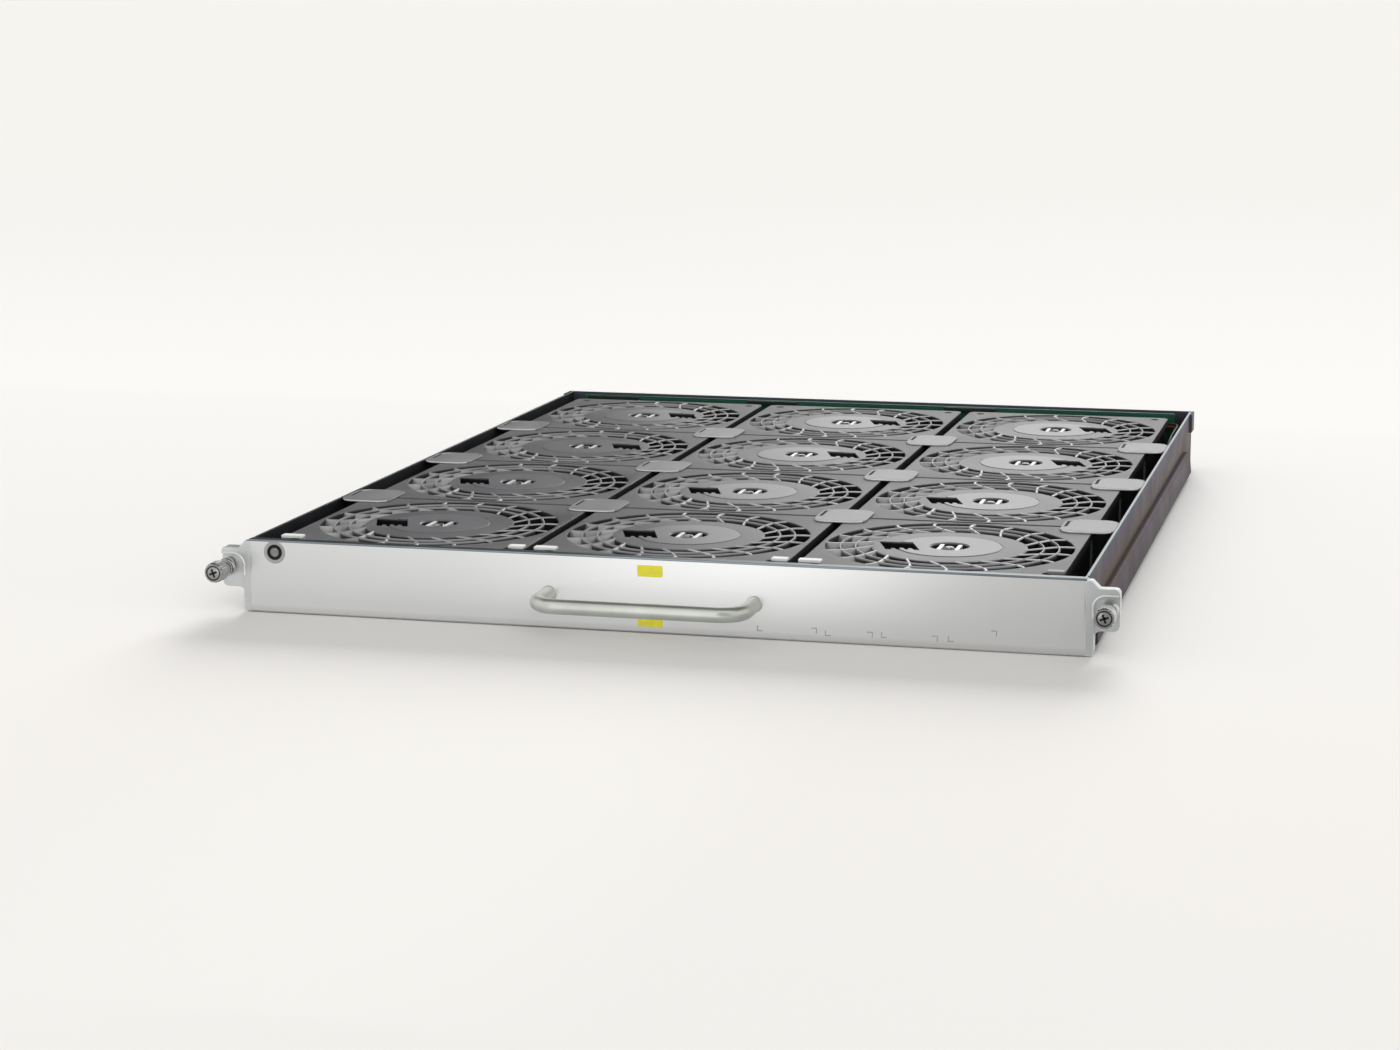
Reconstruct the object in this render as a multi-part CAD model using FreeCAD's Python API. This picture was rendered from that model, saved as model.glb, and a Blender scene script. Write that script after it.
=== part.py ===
import FreeCAD, Part
import math
import os

# Fan tray: twelve axial fans in a shallow sheet-metal drawer, pulled out by its front handle.
# Millimetres, X across, Y from front to rear, Z up, origin under the middle of the whole object.

# Grid of fans
COLUMNS = 3
ROWS = 4
FAN_SIDE = 120.0
FAN_DEPTH = 32.0
COLUMN_PITCH = 125.0
ROW_PITCH = 122.5
FIRST_HUB = 64.9

# Tray body
TRAY_WIDTH = 393.4
TRAY_DEPTH = 517.2
TRAY_HEIGHT = 35.0
BASE_SHEET = 2.0
SHEET = 1.5
PANEL_SHEET = 2.0
PANEL_RETURN = 6.5
PANEL_LIP = 4.6

# What stands out in front and behind
HANDLE_REACH = 29.5
REAR_REACH = 14.0

# Stator guard on the outlet side of each fan
VANES = 19
DUCT_RADIUS = 57.6
OUTER_RING_RADIUS = 50.6
INNER_RING_RADIUS = 43.5
STATOR_HUB_RADIUS = 36.4
RING_SIDES = 12
RING_WIDTH = 1.5
RING_HEIGHT = 2.5
VANE_SHEET = 1.4
VANE_SWEEP = 9.0
VANE_LEAN = 8.0
STATOR_HEIGHT = 12.0
HUB_HOLE_RADIUS = 8.8
SOCKET_X = -22.0
SOCKET_Y = -7.8
SOCKET_LENGTH = 18.5
SOCKET_WIDTH = 20.0
SOCKET_DEPTH = 8.0
INLET_RADIUS = 57.0
INLET_SIDES = 14

# Rotor and motor
BLADES = 5
BLADE_ROOT = 32.0
BLADE_ROOT_CHORD = 20.0
BLADE_ROOT_PITCH = 42.0
BLADE_TIP = 55.0
BLADE_TIP_CHORD = 29.0
BLADE_TIP_PITCH = 28.0
BLADE_CAMBER = 2.2
BLADE_THICKNESS = 2.2
ROTOR_SIDES = 10
ROTOR_RADIUS = 35.0
ROTOR_LIFT = 3.0
ROTOR_GAP = 0.6
SHAFT_RADIUS = 2.5
SHAFT_DROP = 1.5
BEARING_DROP = 3.0

# Hold-down plates between the fans, and pads on the front corners
PLATE_WIDTH = 26.0
PLATE_LENGTH = 32.0
PLATE_CORNER = 5.0
PLATE_SHEET = 1.0
POST_WIDTH = 4.0
POST_LENGTH = 1.9
SIDE_POST_X = 182.0
LEFT_PAD_WIDTH = 10.5
RIGHT_PAD_WIDTH = 7.5
PAD_LENGTH = 11.8
PAD_SETBACK = 6.4
PAD_SHEET = 0.8

# Ears and captive thumbscrews
EAR_STRIP = 199.9
EAR_TIP = 211.0
EAR_BOTTOM = 11.5
EAR_TOP = 30.6
EAR_FRONT = 0.4
EAR_DROP = 1.0
STRIP_CHAMFER = 2.2
POCKET_TOP = 27.2
POCKET_CORNER = 5.0
EAR_FILLET = 3.0
EAR_CHAMFER = 2.3
LOBE_CORNER = 2.8
EAR_PAD_INSET = 2.2
EAR_PAD_SHEET = 0.4
SCREW_X = 206.5
SCREW_Z = 21.8
KNOB_RADIUS = 4.8
KNOB_FRONT = 19.0
KNOB_LENGTH = 9.0
KNOB_SIDES = 12
NECK_RADIUS = 3.0
FERRULE_RADIUS = 4.3
FERRULE_FRONT = 4.0
FERRULE_STEP = 1.0
SPRING_GAP = 0.4
SHANK_RADIUS = 1.8
THREAD_RADIUS = 2.0
THREAD_START = 8.5
THREAD_END = 15.5
CLIP_RADIUS = 2.9
CLIP_SHEET = 1.2
CLIP_GAP = 0.4

# Handle
HANDLE_X = -0.9
HANDLE_Z = 16.1
HANDLE_SPAN = 97.0
HANDLE_ROD = 7.0
HANDLE_BEND = 11.0
HANDLE_SIDES = 10
BEND_STEPS = 3
HANDLE_SCREW_RADIUS = 2.0
HANDLE_SCREW_DEPTH = 9.0
SCREW_HEAD_RADIUS = 3.6
SCREW_HEAD_HEIGHT = 2.2

# Status light
LIGHT_X = -183.6
LIGHT_DROP = 5.8
BEZEL_RADIUS = 3.6
BEZEL_PROUD = 0.8
BEZEL_RIM = 0.6
BEZEL_HOLE = 2.3
LENS_PROUD = 0.5
LIGHT_SIDES = 12

# Guide rails on the outside of the side walls
RAIL_PROUD = 3.5
RAIL_BOTTOM = 2.5
RAIL_TOP = 17.5
RAIL_START = 14.0
RAIL_END = 484.0
RAIL_TAPER = 14.0
RAIL_BEVEL = 2.0
RAIL_LIP = 1.4
RIVETS_PER_RAIL = 3
RIVET_RADIUS = 2.2
RIVET_HEIGHT = 0.9

# Rear wall, control board and its connector
CORNER_TAB_LENGTH = 14.0
CORNER_TAB_HEIGHT = 11.0
BOARD_LEFT = -181.0
BOARD_RIGHT = 183.0
BOARD_BOTTOM = 3.5
BOARD_TOP = 33.0
BOARD_SHEET = 1.6
BOARD_STANDOFF = 7.1
STANDOFF_RADIUS = 2.8
STANDOFFS = 4
STANDOFF_LIFT = 8.0
HEADER_SIZE = (11.0, 7.0, 7.0)
HEADER_Z = 28.0
CONNECTOR_SIZE = (64.0, 16.0)
CONNECTOR_WALL = 1.8
CONNECTOR_Z = 18.0
PIN_SPREAD = 84.0
PIN_RADIUS = 3.0
PIN_TIP_RADIUS = 1.2
PIN_SETBACK = 1.0
CUTOUT_MARGIN = 1.0
CHIP_XS = (-140.0, -95.0, 95.0, 140.0)
CHIP_SIZE = (14.0, 1.8, 14.0)
CHIP_LIFT = 1.0
CAPACITOR_XS = (-118.0, -40.0, 40.0, 118.0)
CAPACITOR_RADIUS = 4.0
CAPACITOR_LENGTH = 9.0
CAPACITOR_LIFT = 8.0

# Lead of the last right-hand fan, in the gap beside it
LEAD_RADIUS = 1.6
LEAD_X = 190.0
LEAD_Z = 8.0
LEAD_START = 380.0
LEAD_RISE = 390.0
LEAD_BEND = 30.0
LEAD_SLOPE = 30.0
LEAD_STUB = 1.0

# Flat sides of small rounds, and the clearance of a shaft in its bore
SMALL_SIDES = 8
HEX = 6
RUNNING_GAP = 0.06

# Worked-out places
TOTAL_LENGTH = HANDLE_REACH + TRAY_DEPTH + REAR_REACH
FRONT = -TOTAL_LENGTH / 2 + HANDLE_REACH
REAR = FRONT + TRAY_DEPTH
INNER_REAR = REAR - SHEET
HALF_OUT = TRAY_WIDTH / 2
HALF_IN = HALF_OUT - SHEET
FAN_BOTTOM = BASE_SHEET
FAN_TOP = BASE_SHEET + FAN_DEPTH
STATOR_BOTTOM = FAN_TOP - STATOR_HEIGHT
ROTOR_BOTTOM = FAN_BOTTOM + ROTOR_LIFT
ROTOR_TOP = STATOR_BOTTOM - ROTOR_GAP
ROTOR_MIDDLE = (ROTOR_BOTTOM + ROTOR_TOP) / 2
BOARD_REAR = INNER_REAR - BOARD_STANDOFF
BOARD_FRONT = BOARD_REAR - BOARD_SHEET
EAR_FLOOR = FRONT + EAR_FRONT + SHEET
EAR_BACK = FRONT + PANEL_RETURN
UP = FreeCAD.Vector(0, 0, 1)
CENTRE = FreeCAD.Vector(0, 0, 0)


def block(x0, x1, y0, y1, z0, z1):
    return Part.makeBox(x1 - x0, y1 - y0, z1 - z0, FreeCAD.Vector(x0, y0, z0))


def face_of(points):
    return Part.Face(Part.makePolygon(points + points[:1]))


def prism(plan, z0, z1):
    points = [FreeCAD.Vector(x, y, z0) for x, y in plan]
    return face_of(points).extrude(FreeCAD.Vector(0, 0, z1 - z0))


def solid_of(faces):
    solid = Part.Solid(Part.Shell(faces))
    if solid.Volume < 0:
        solid.reverse()
    return solid


def polar(radius, degrees):
    angle = math.radians(degrees)
    return radius * math.cos(angle), radius * math.sin(angle)


def regular(sides, radius, turn=0.0):
    # The corner radius makes the flat-sided round as wide, on average, as the true one.
    corner = radius * 2 / (1 + math.cos(math.pi / sides))
    return [polar(corner, turn + 360.0 * i / sides) for i in range(sides)]


def round_bar(sides, radius, z0, z1, turn=0.0):
    return prism(regular(sides, radius, turn), z0, z1)


def tube(sides, radius, bore, z0, z1):
    return round_bar(sides, radius, z0, z1).cut(round_bar(sides, bore, z0, z1))


def inscribed(sides, radius):
    return [polar(radius, 360.0 * i / sides) for i in range(sides)]


def running_bore(radius, z0, z1):
    # Hole whose flats clear a shaft of this radius all the way round.
    return prism(inscribed(SMALL_SIDES, (radius + RUNNING_GAP) / math.cos(math.pi / SMALL_SIDES)), z0, z1)


def side_faces(first, second):
    faces = []
    for k in range(len(first)):
        n = (k + 1) % len(first)
        faces.append(face_of([first[k], first[n], second[n], second[k]]))
    return faces


def flat_sided_ring(sides, profile):
    # Ring with flat sides whose section is the closed profile of radius and height.
    loops = []
    for radius, z in profile:
        loops.append([FreeCAD.Vector(x, y, z) for x, y in regular(sides, radius)])
    faces = []
    for first, second in zip(loops, loops[1:] + loops[:1]):
        faces += side_faces(first, second)
    return solid_of(faces)


def flat_sided_turning(sides, profile):
    # Turned piece with flat sides, through each radius and height of the profile.
    loops = []
    for radius, z in profile:
        loops.append([FreeCAD.Vector(x, y, z) for x, y in regular(sides, radius)])
    faces = [face_of(loops[0]), face_of(loops[-1])]
    for first, second in zip(loops, loops[1:]):
        faces += side_faces(first, second)
    return solid_of(faces)


def chamfered(x0, x1, y0, y1, corner):
    return [
        (x0 + corner, y0),
        (x1 - corner, y0),
        (x1, y0 + corner),
        (x1, y1 - corner),
        (x1 - corner, y1),
        (x0 + corner, y1),
        (x0, y1 - corner),
        (x0, y0 + corner),
    ]


def strip(start, end, width):
    # Plan outline of a straight strip of even width.
    run = math.hypot(end[0] - start[0], end[1] - start[1])
    side_x = -(end[1] - start[1]) / run * width / 2
    side_y = (end[0] - start[0]) / run * width / 2
    return [
        (start[0] + side_x, start[1] + side_y),
        (start[0] - side_x, start[1] - side_y),
        (end[0] - side_x, end[1] - side_y),
        (end[0] + side_x, end[1] + side_y),
    ]


def to_front(shape, x, y, z):
    # Turns a piece made along +Z so that its +Z points to the front, and puts it in place.
    turned = shape.copy()
    turned.rotate(CENTRE, FreeCAD.Vector(1, 0, 0), 90)
    turned.translate(FreeCAD.Vector(x, y, z))
    return turned


def mirrored(shape):
    return shape.mirror(CENTRE, FreeCAD.Vector(1, 0, 0))


def swept_bar(points, sides, radius):
    # Bar of regular section along a bent line, mitred at each bend.
    run = (points[1] - points[0]).normalize()
    across = run.cross(UP)
    if across.Length < 0.5:
        across = FreeCAD.Vector(1, 0, 0)
    across.normalize()
    upward = across.cross(run)
    section = [points[0] + across * a + upward * b for a, b in regular(sides, radius, 180.0 / sides)]
    rings = [section]
    for i in range(1, len(points)):
        run = (points[i] - points[i - 1]).normalize()
        onward = points[min(i + 1, len(points) - 1)] - points[i]
        normal = run
        if onward.Length > 0:
            normal = (run + onward.normalize()).normalize()
        section = [p + run * ((points[i] - p).dot(normal) / run.dot(normal)) for p in section]
        rings.append(section)
    faces = [face_of(rings[0]), face_of(rings[-1])]
    for first, second in zip(rings, rings[1:]):
        faces += side_faces(first, second)
    return solid_of(faces)


def arc_points(middle, start, turn_axis, degrees, steps):
    # Points of a bend, its start included.
    points = []
    for i in range(steps + 1):
        spin = FreeCAD.Rotation(turn_axis, degrees * i / steps)
        points.append(middle + spin.multVec(start - middle))
    return points


def fan_places():
    places = []
    for row in range(ROWS):
        for column in range(COLUMNS):
            x = (column - (COLUMNS - 1) / 2) * COLUMN_PITCH
            y = FRONT + FIRST_HUB + row * ROW_PITCH
            # The two rear rows are turned round, so that their sockets face the other way.
            turn = 180.0 if row >= ROWS / 2 else 0.0
            places.append((x, y, turn))
    return places


def placed(shape, x, y, turn):
    copy = shape.copy()
    copy.rotate(CENTRE, UP, turn)
    copy.translate(FreeCAD.Vector(x, y, 0))
    return copy


def vane_line(turn):
    # Plan line of a vane, swept on from the hub to the duct; both ends run into what they join.
    root = polar(STATOR_HUB_RADIUS - VANE_SHEET, turn)
    tip = polar(DUCT_RADIUS + VANE_SHEET, turn + VANE_SWEEP)
    return root, tip


def guard_ring(radius):
    # Three-sided ring that lies on the vanes.
    low = FAN_TOP - RING_HEIGHT
    profile = [(radius - RING_WIDTH / 2, low), (radius + RING_WIDTH / 2, low), (radius, FAN_TOP)]
    return flat_sided_ring(RING_SIDES, profile)


def fan_duct():
    half_facet = 180.0 / VANES
    return round_bar(VANES, DUCT_RADIUS, FAN_BOTTOM, FAN_TOP, VANE_SWEEP + half_facet)


def fan_housing():
    # Square frame round the duct.
    half = FAN_SIDE / 2
    return block(-half, half, -half, half, FAN_BOTTOM, FAN_TOP).cut(fan_duct())


def stator_vane(turn):
    # Vane that leans over: its foot is ahead of its top in the sense of the sweep.
    root, tip = vane_line(turn)
    height = FAN_TOP - RING_HEIGHT - STATOR_BOTTOM
    x, y = polar(VANE_LEAN / 2, turn + VANE_SWEEP / 2 + 90)
    foot = [FreeCAD.Vector(a + x, b + y, STATOR_BOTTOM) for a, b in strip(root, tip, VANE_SHEET)]
    return face_of(foot).extrude(FreeCAD.Vector(-2 * x, -2 * y, height))


def fan_stator():
    # Hub with a bearing seat and a lead socket, held in the duct by swept and leaning vanes.
    hub = round_bar(VANES, STATOR_HUB_RADIUS, STATOR_BOTTOM, FAN_TOP, 180.0 / VANES)
    bearing_seat = round_bar(SMALL_SIDES, HUB_HOLE_RADIUS, STATOR_BOTTOM, FAN_TOP)
    socket = block(
        SOCKET_X - SOCKET_LENGTH / 2, SOCKET_X + SOCKET_LENGTH / 2,
        SOCKET_Y - SOCKET_WIDTH / 2, SOCKET_Y + SOCKET_WIDTH / 2,
        FAN_TOP - SOCKET_DEPTH, FAN_TOP,
    )
    vanes = [stator_vane(360.0 * i / VANES) for i in range(VANES)]
    moulding = hub.multiFuse(vanes).common(fan_duct())
    return moulding.cut(bearing_seat).cut(socket).removeSplitter()


def blade_section(radius, chord, pitch):
    # Cambered section of a blade at this radius: nose, back, tail and belly.
    angle = math.radians(pitch)
    half = BLADE_THICKNESS / 2
    points = []
    outline = [(-chord / 2, 0), (0, BLADE_CAMBER + half), (chord / 2, 0), (0, BLADE_CAMBER - half)]
    for along, lift in outline:
        y = along * math.cos(angle) - lift * math.sin(angle)
        z = along * math.sin(angle) + lift * math.cos(angle)
        points.append(FreeCAD.Vector(radius, y, ROTOR_MIDDLE + z))
    return points


def fan_blade():
    # Twisted blade, wider and flatter at its tip than at the hub. Each side is split from an edge of the
    # root to the crest of the tip, so that back and belly bend the same way.
    root = blade_section(BLADE_ROOT, BLADE_ROOT_CHORD, BLADE_ROOT_PITCH)
    tip = blade_section(BLADE_TIP, BLADE_TIP_CHORD, BLADE_TIP_PITCH)
    faces = [face_of(root), face_of(tip)]
    for k in range(len(root)):
        n = (k + 1) % len(root)
        if k % 2 == 0:
            faces.append(face_of([root[k], root[n], tip[n]]))
            faces.append(face_of([root[k], tip[n], tip[k]]))
        else:
            faces.append(face_of([root[k], root[n], tip[k]]))
            faces.append(face_of([root[n], tip[n], tip[k]]))
    return solid_of(faces)


def fan_impeller():
    # Closed motor hub with its shaft, and a twisted blade on every second flat of the hub.
    hub = round_bar(ROTOR_SIDES, ROTOR_RADIUS, ROTOR_BOTTOM, ROTOR_TOP, 180.0 / ROTOR_SIDES)
    blade = fan_blade()
    pieces = [placed(blade, 0, 0, 360.0 * i / BLADES) for i in range(BLADES)]
    pieces.append(prism(inscribed(SMALL_SIDES, SHAFT_RADIUS), ROTOR_BOTTOM, FAN_TOP - SHAFT_DROP))
    return hub.multiFuse(pieces).removeSplitter()


def shaft_bearing():
    top = FAN_TOP - BEARING_DROP
    bearing = round_bar(SMALL_SIDES, HUB_HOLE_RADIUS, STATOR_BOTTOM, top)
    return bearing.cut(running_bore(SHAFT_RADIUS, STATOR_BOTTOM, top))


def base_pan():
    # Flat base with a round air inlet under each fan.
    pan = block(-HALF_IN, HALF_IN, FRONT + PANEL_RETURN, INNER_REAR, 0, BASE_SHEET)
    inlet = round_bar(INLET_SIDES, INLET_RADIUS, 0, BASE_SHEET)
    inlets = [placed(inlet, x, y, turn) for x, y, turn in fan_places()]
    return pan.cut(Part.makeCompound(inlets))


def side_wall():
    return block(HALF_IN, HALF_OUT, FRONT + PANEL_RETURN, INNER_REAR, 0, TRAY_HEIGHT)


def guide_rail():
    # Folded rail on the right side wall: open towards the wall, closed in front, run-in at its rear end.
    x1 = HALF_OUT + RAIL_PROUD
    inner = x1 - RAIL_LIP
    outside = [
        (HALF_OUT, RAIL_TOP),
        (x1 - RAIL_BEVEL / 2, RAIL_TOP - RAIL_BEVEL / 2),
        (x1, RAIL_TOP - RAIL_BEVEL),
        (x1, RAIL_BOTTOM),
        (HALF_OUT, RAIL_BOTTOM),
    ]
    inside = [
        (HALF_OUT, RAIL_BOTTOM + RAIL_LIP),
        (inner, RAIL_BOTTOM + RAIL_LIP),
        (inner, RAIL_TOP - RAIL_BEVEL - RAIL_LIP),
        (HALF_OUT, RAIL_TOP - RAIL_LIP),
    ]
    start = FRONT + RAIL_START
    end = FRONT + RAIL_END
    rail = face_of([FreeCAD.Vector(x, start, z) for x, z in outside])
    rail = rail.extrude(FreeCAD.Vector(0, end - start, 0))
    hollow = face_of([FreeCAD.Vector(x, start + RAIL_LIP, z) for x, z in inside])
    rail = rail.cut(hollow.extrude(FreeCAD.Vector(0, end - start, 0)))
    corner = [
        FreeCAD.Vector(HALF_OUT, end, RAIL_TOP),
        FreeCAD.Vector(HALF_OUT, end, RAIL_BOTTOM),
        FreeCAD.Vector(HALF_OUT, end - RAIL_TAPER, RAIL_TOP),
    ]
    return rail.cut(face_of(corner).extrude(FreeCAD.Vector(RAIL_PROUD, 0, 0)))


def rail_rivets():
    # Flat heads on the inside of both walls that hold the rails.
    rivets = []
    middle = (RAIL_BOTTOM + RAIL_TOP) / 2
    spread = (RAIL_END - RAIL_START) / RIVETS_PER_RAIL
    for i in range(RIVETS_PER_RAIL):
        head = round_bar(HEX, RIVET_RADIUS, 0, RIVET_HEIGHT)
        head.rotate(CENTRE, FreeCAD.Vector(0, 1, 0), -90)
        head.translate(FreeCAD.Vector(HALF_IN, FRONT + RAIL_START + spread * (i + 0.5), middle))
        rivets.append(head)
        rivets.append(mirrored(head))
    return Part.makeCompound(rivets)


def rear_wall():
    # Back plate with the connector cut-out, and tabs folded round both top corners.
    wall = block(-HALF_OUT, HALF_OUT, INNER_REAR, REAR, 0, TRAY_HEIGHT)
    low = TRAY_HEIGHT - CORNER_TAB_HEIGHT
    upper = block(-HALF_OUT - SHEET, HALF_OUT + SHEET, INNER_REAR, REAR, low, TRAY_HEIGHT)
    tab = block(HALF_OUT, HALF_OUT + SHEET, REAR - CORNER_TAB_LENGTH, REAR, low, TRAY_HEIGHT)
    length = CONNECTOR_SIZE[0] / 2 + CUTOUT_MARGIN
    height = CONNECTOR_SIZE[1] / 2 + CUTOUT_MARGIN
    cutout = block(-length, length, INNER_REAR, REAR, CONNECTOR_Z - height, CONNECTOR_Z + height)
    return wall.multiFuse([upper, tab, mirrored(tab)]).removeSplitter().cut(cutout)


def rounded_outline(corners, y):
    # Wire in an upright plane; each corner is x, z and the radius that rounds it off.
    count = len(corners)
    ends = []
    for i, (x, z, radius) in enumerate(corners):
        here = FreeCAD.Vector(x, y, z)
        back = FreeCAD.Vector(corners[i - 1][0], y, corners[i - 1][1]) - here
        onward = FreeCAD.Vector(corners[(i + 1) % count][0], y, corners[(i + 1) % count][1]) - here
        if radius == 0:
            ends.append((here, here, here))
            continue
        half = back.getAngle(onward) / 2
        cut = radius / math.tan(half)
        back.normalize()
        onward.normalize()
        bisector = (back + onward).normalize()
        crown = here + bisector * (radius / math.sin(half) - radius)
        ends.append((here + back * cut, crown, here + onward * cut))
    edges = []
    for i, (start, crown, end) in enumerate(ends):
        if start != end:
            edges.append(Part.Arc(start, crown, end).toShape())
        edges.append(Part.LineSegment(end, ends[(i + 1) % count][0]).toShape())
    return Part.Wire(edges)


def ear_layer(lobe_bottom, inner_radius, lobe_corner, y0, y1):
    # Layer of the right-hand ear: a full-height strip, and a lobe that reaches out from it.
    top = TRAY_HEIGHT - EAR_DROP
    corners = [
        (HALF_IN, 0, 0),
        (EAR_STRIP - STRIP_CHAMFER, 0, 0),
        (EAR_STRIP, STRIP_CHAMFER, 0),
        (EAR_STRIP, lobe_bottom, inner_radius),
        (EAR_TIP, lobe_bottom, lobe_corner),
        (EAR_TIP, EAR_TOP - EAR_CHAMFER, 0),
        (EAR_TIP - EAR_CHAMFER, EAR_TOP, 0),
        (EAR_STRIP + EAR_CHAMFER, EAR_TOP, 0),
        (EAR_STRIP - EAR_CHAMFER / 2, top, 0),
        (HALF_IN, top, 0),
    ]
    return Part.Face(rounded_outline(corners, y0)).extrude(FreeCAD.Vector(0, y1 - y0, 0))


def ear():
    # The front layer leaves a pocket round the thumbscrew, and the back one carries it.
    # A thin pad behind them meets the chassis.
    pad_back = EAR_BACK + EAR_PAD_SHEET
    front = ear_layer(POCKET_TOP, POCKET_CORNER, 0, FRONT + EAR_FRONT, EAR_FLOOR)
    back = ear_layer(EAR_BOTTOM, EAR_FILLET, LOBE_CORNER, EAR_FLOOR, EAR_BACK)
    lobe = block(EAR_STRIP + EAR_PAD_INSET, EAR_TIP, EAR_BACK, pad_back, EAR_BOTTOM, EAR_TOP - EAR_CHAMFER)
    pad = ear_layer(EAR_BOTTOM, EAR_FILLET, LOBE_CORNER, EAR_BACK, pad_back).common(lobe)
    hole = round_bar(SMALL_SIDES, FERRULE_RADIUS - FERRULE_STEP, 0, pad_back - EAR_FLOOR)
    return front.multiFuse([back, pad]).cut(to_front(hole, SCREW_X, pad_back, SCREW_Z))


def front_panel():
    # Folded face plate with lips at top and bottom, returned sides, ears and holes for what it carries.
    face = block(-HALF_OUT, HALF_OUT, FRONT, FRONT + PANEL_SHEET, 0, TRAY_HEIGHT)
    top_lip = block(-HALF_OUT, HALF_OUT, FRONT, FRONT + PANEL_LIP, TRAY_HEIGHT - SHEET, TRAY_HEIGHT)
    bottom_lip = block(-HALF_OUT, HALF_OUT, FRONT, FRONT + PANEL_RETURN, 0, BASE_SHEET)
    side = block(HALF_IN, HALF_OUT, FRONT, FRONT + PANEL_RETURN, 0, TRAY_HEIGHT)
    right_ear = ear()
    panel = face.multiFuse([top_lip, bottom_lip, side, mirrored(side), right_ear, mirrored(right_ear)])
    panel = panel.removeSplitter()
    light_z = TRAY_HEIGHT - LIGHT_DROP
    light_hole = round_bar(LIGHT_SIDES, BEZEL_RADIUS - BEZEL_RIM, -PANEL_SHEET, 0)
    holes = [to_front(light_hole, LIGHT_X, FRONT, light_z)]
    for x in handle_feet():
        hole = round_bar(SMALL_SIDES, HANDLE_SCREW_RADIUS, -PANEL_SHEET, 0)
        holes.append(to_front(hole, x, FRONT, HANDLE_Z))
    return panel.cut(Part.makeCompound(holes))


def handle_feet():
    return [HANDLE_X - HANDLE_SPAN / 2, HANDLE_X + HANDLE_SPAN / 2]


def handle():
    # Round rod bent twice, tapped at both feet.
    z = HANDLE_Z
    reach = HANDLE_REACH - HANDLE_ROD / 2
    left, right = handle_feet()
    bar_y = FRONT - reach
    points = [FreeCAD.Vector(left, FRONT, z)]
    middle = FreeCAD.Vector(left + HANDLE_BEND, bar_y + HANDLE_BEND, z)
    points += arc_points(middle, FreeCAD.Vector(left, bar_y + HANDLE_BEND, z), UP, 90, BEND_STEPS)
    middle = FreeCAD.Vector(right - HANDLE_BEND, bar_y + HANDLE_BEND, z)
    points += arc_points(middle, FreeCAD.Vector(right - HANDLE_BEND, bar_y, z), UP, 90, BEND_STEPS)
    points.append(FreeCAD.Vector(right, FRONT, z))
    rod = swept_bar(points, HANDLE_SIDES, HANDLE_ROD / 2)
    thread = round_bar(SMALL_SIDES, HANDLE_SCREW_RADIUS, 0, HANDLE_SCREW_DEPTH)
    return rod.cut(Part.makeCompound([to_front(thread, x, FRONT, z) for x in handle_feet()]))


def handle_screws():
    screws = []
    for x in handle_feet():
        shank = round_bar(SMALL_SIDES, HANDLE_SCREW_RADIUS, -PANEL_SHEET, HANDLE_SCREW_DEPTH)
        head_back = -PANEL_SHEET - SCREW_HEAD_HEIGHT
        head = round_bar(HEX, SCREW_HEAD_RADIUS, head_back, -PANEL_SHEET)
        screws.append(to_front(head.fuse(shank), x, FRONT, HANDLE_Z))
    return Part.makeCompound(screws)


def led_bezel():
    collar = tube(LIGHT_SIDES, BEZEL_RADIUS, BEZEL_HOLE, 0, BEZEL_PROUD)
    sleeve = tube(LIGHT_SIDES, BEZEL_RADIUS - BEZEL_RIM, BEZEL_HOLE, -PANEL_SHEET, 0)
    return to_front(collar.fuse(sleeve).removeSplitter(), LIGHT_X, FRONT, TRAY_HEIGHT - LIGHT_DROP)


def led_lens():
    lens = round_bar(LIGHT_SIDES, BEZEL_HOLE, -PANEL_SHEET, LENS_PROUD)
    return to_front(lens, LIGHT_X, FRONT, TRAY_HEIGHT - LIGHT_DROP)


def thumbscrew():
    # Knob, reduced shank and threaded end; +Z of the drawing points to the front.
    knob_back = KNOB_FRONT - KNOB_LENGTH
    knob = round_bar(KNOB_SIDES, KNOB_RADIUS, knob_back, KNOB_FRONT)
    shank = prism(inscribed(SMALL_SIDES, SHANK_RADIUS), -THREAD_START, knob_back)
    thread = Part.makeCylinder(THREAD_RADIUS, THREAD_END - THREAD_START)
    thread.translate(FreeCAD.Vector(0, 0, -THREAD_END))
    return to_front(knob.multiFuse([shank, thread]), SCREW_X, FRONT, SCREW_Z)


def thumbscrew_spring():
    # Outer form of the coil between the knob and the ferrule.
    bore = SHANK_RADIUS + SPRING_GAP
    coil = tube(SMALL_SIDES, NECK_RADIUS, bore, FERRULE_FRONT, KNOB_FRONT - KNOB_LENGTH)
    return to_front(coil, SCREW_X, FRONT, SCREW_Z)


def thumbscrew_ferrule():
    # Collar in front of the ear with a reduced end pressed into its hole.
    floor = FRONT - EAR_FLOOR
    back = FRONT - EAR_BACK
    collar = round_bar(SMALL_SIDES, FERRULE_RADIUS, floor, FERRULE_FRONT)
    spigot = round_bar(SMALL_SIDES, FERRULE_RADIUS - FERRULE_STEP, back, floor)
    bore = running_bore(SHANK_RADIUS, back, FERRULE_FRONT)
    return to_front(collar.fuse(spigot).cut(bore), SCREW_X, FRONT, SCREW_Z)


def retaining_ring():
    top = FRONT - EAR_BACK - CLIP_GAP
    ring = round_bar(SMALL_SIDES, CLIP_RADIUS, top - CLIP_SHEET, top)
    return to_front(ring.cut(running_bore(SHANK_RADIUS, top - CLIP_SHEET, top)), SCREW_X, FRONT, SCREW_Z)


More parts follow.
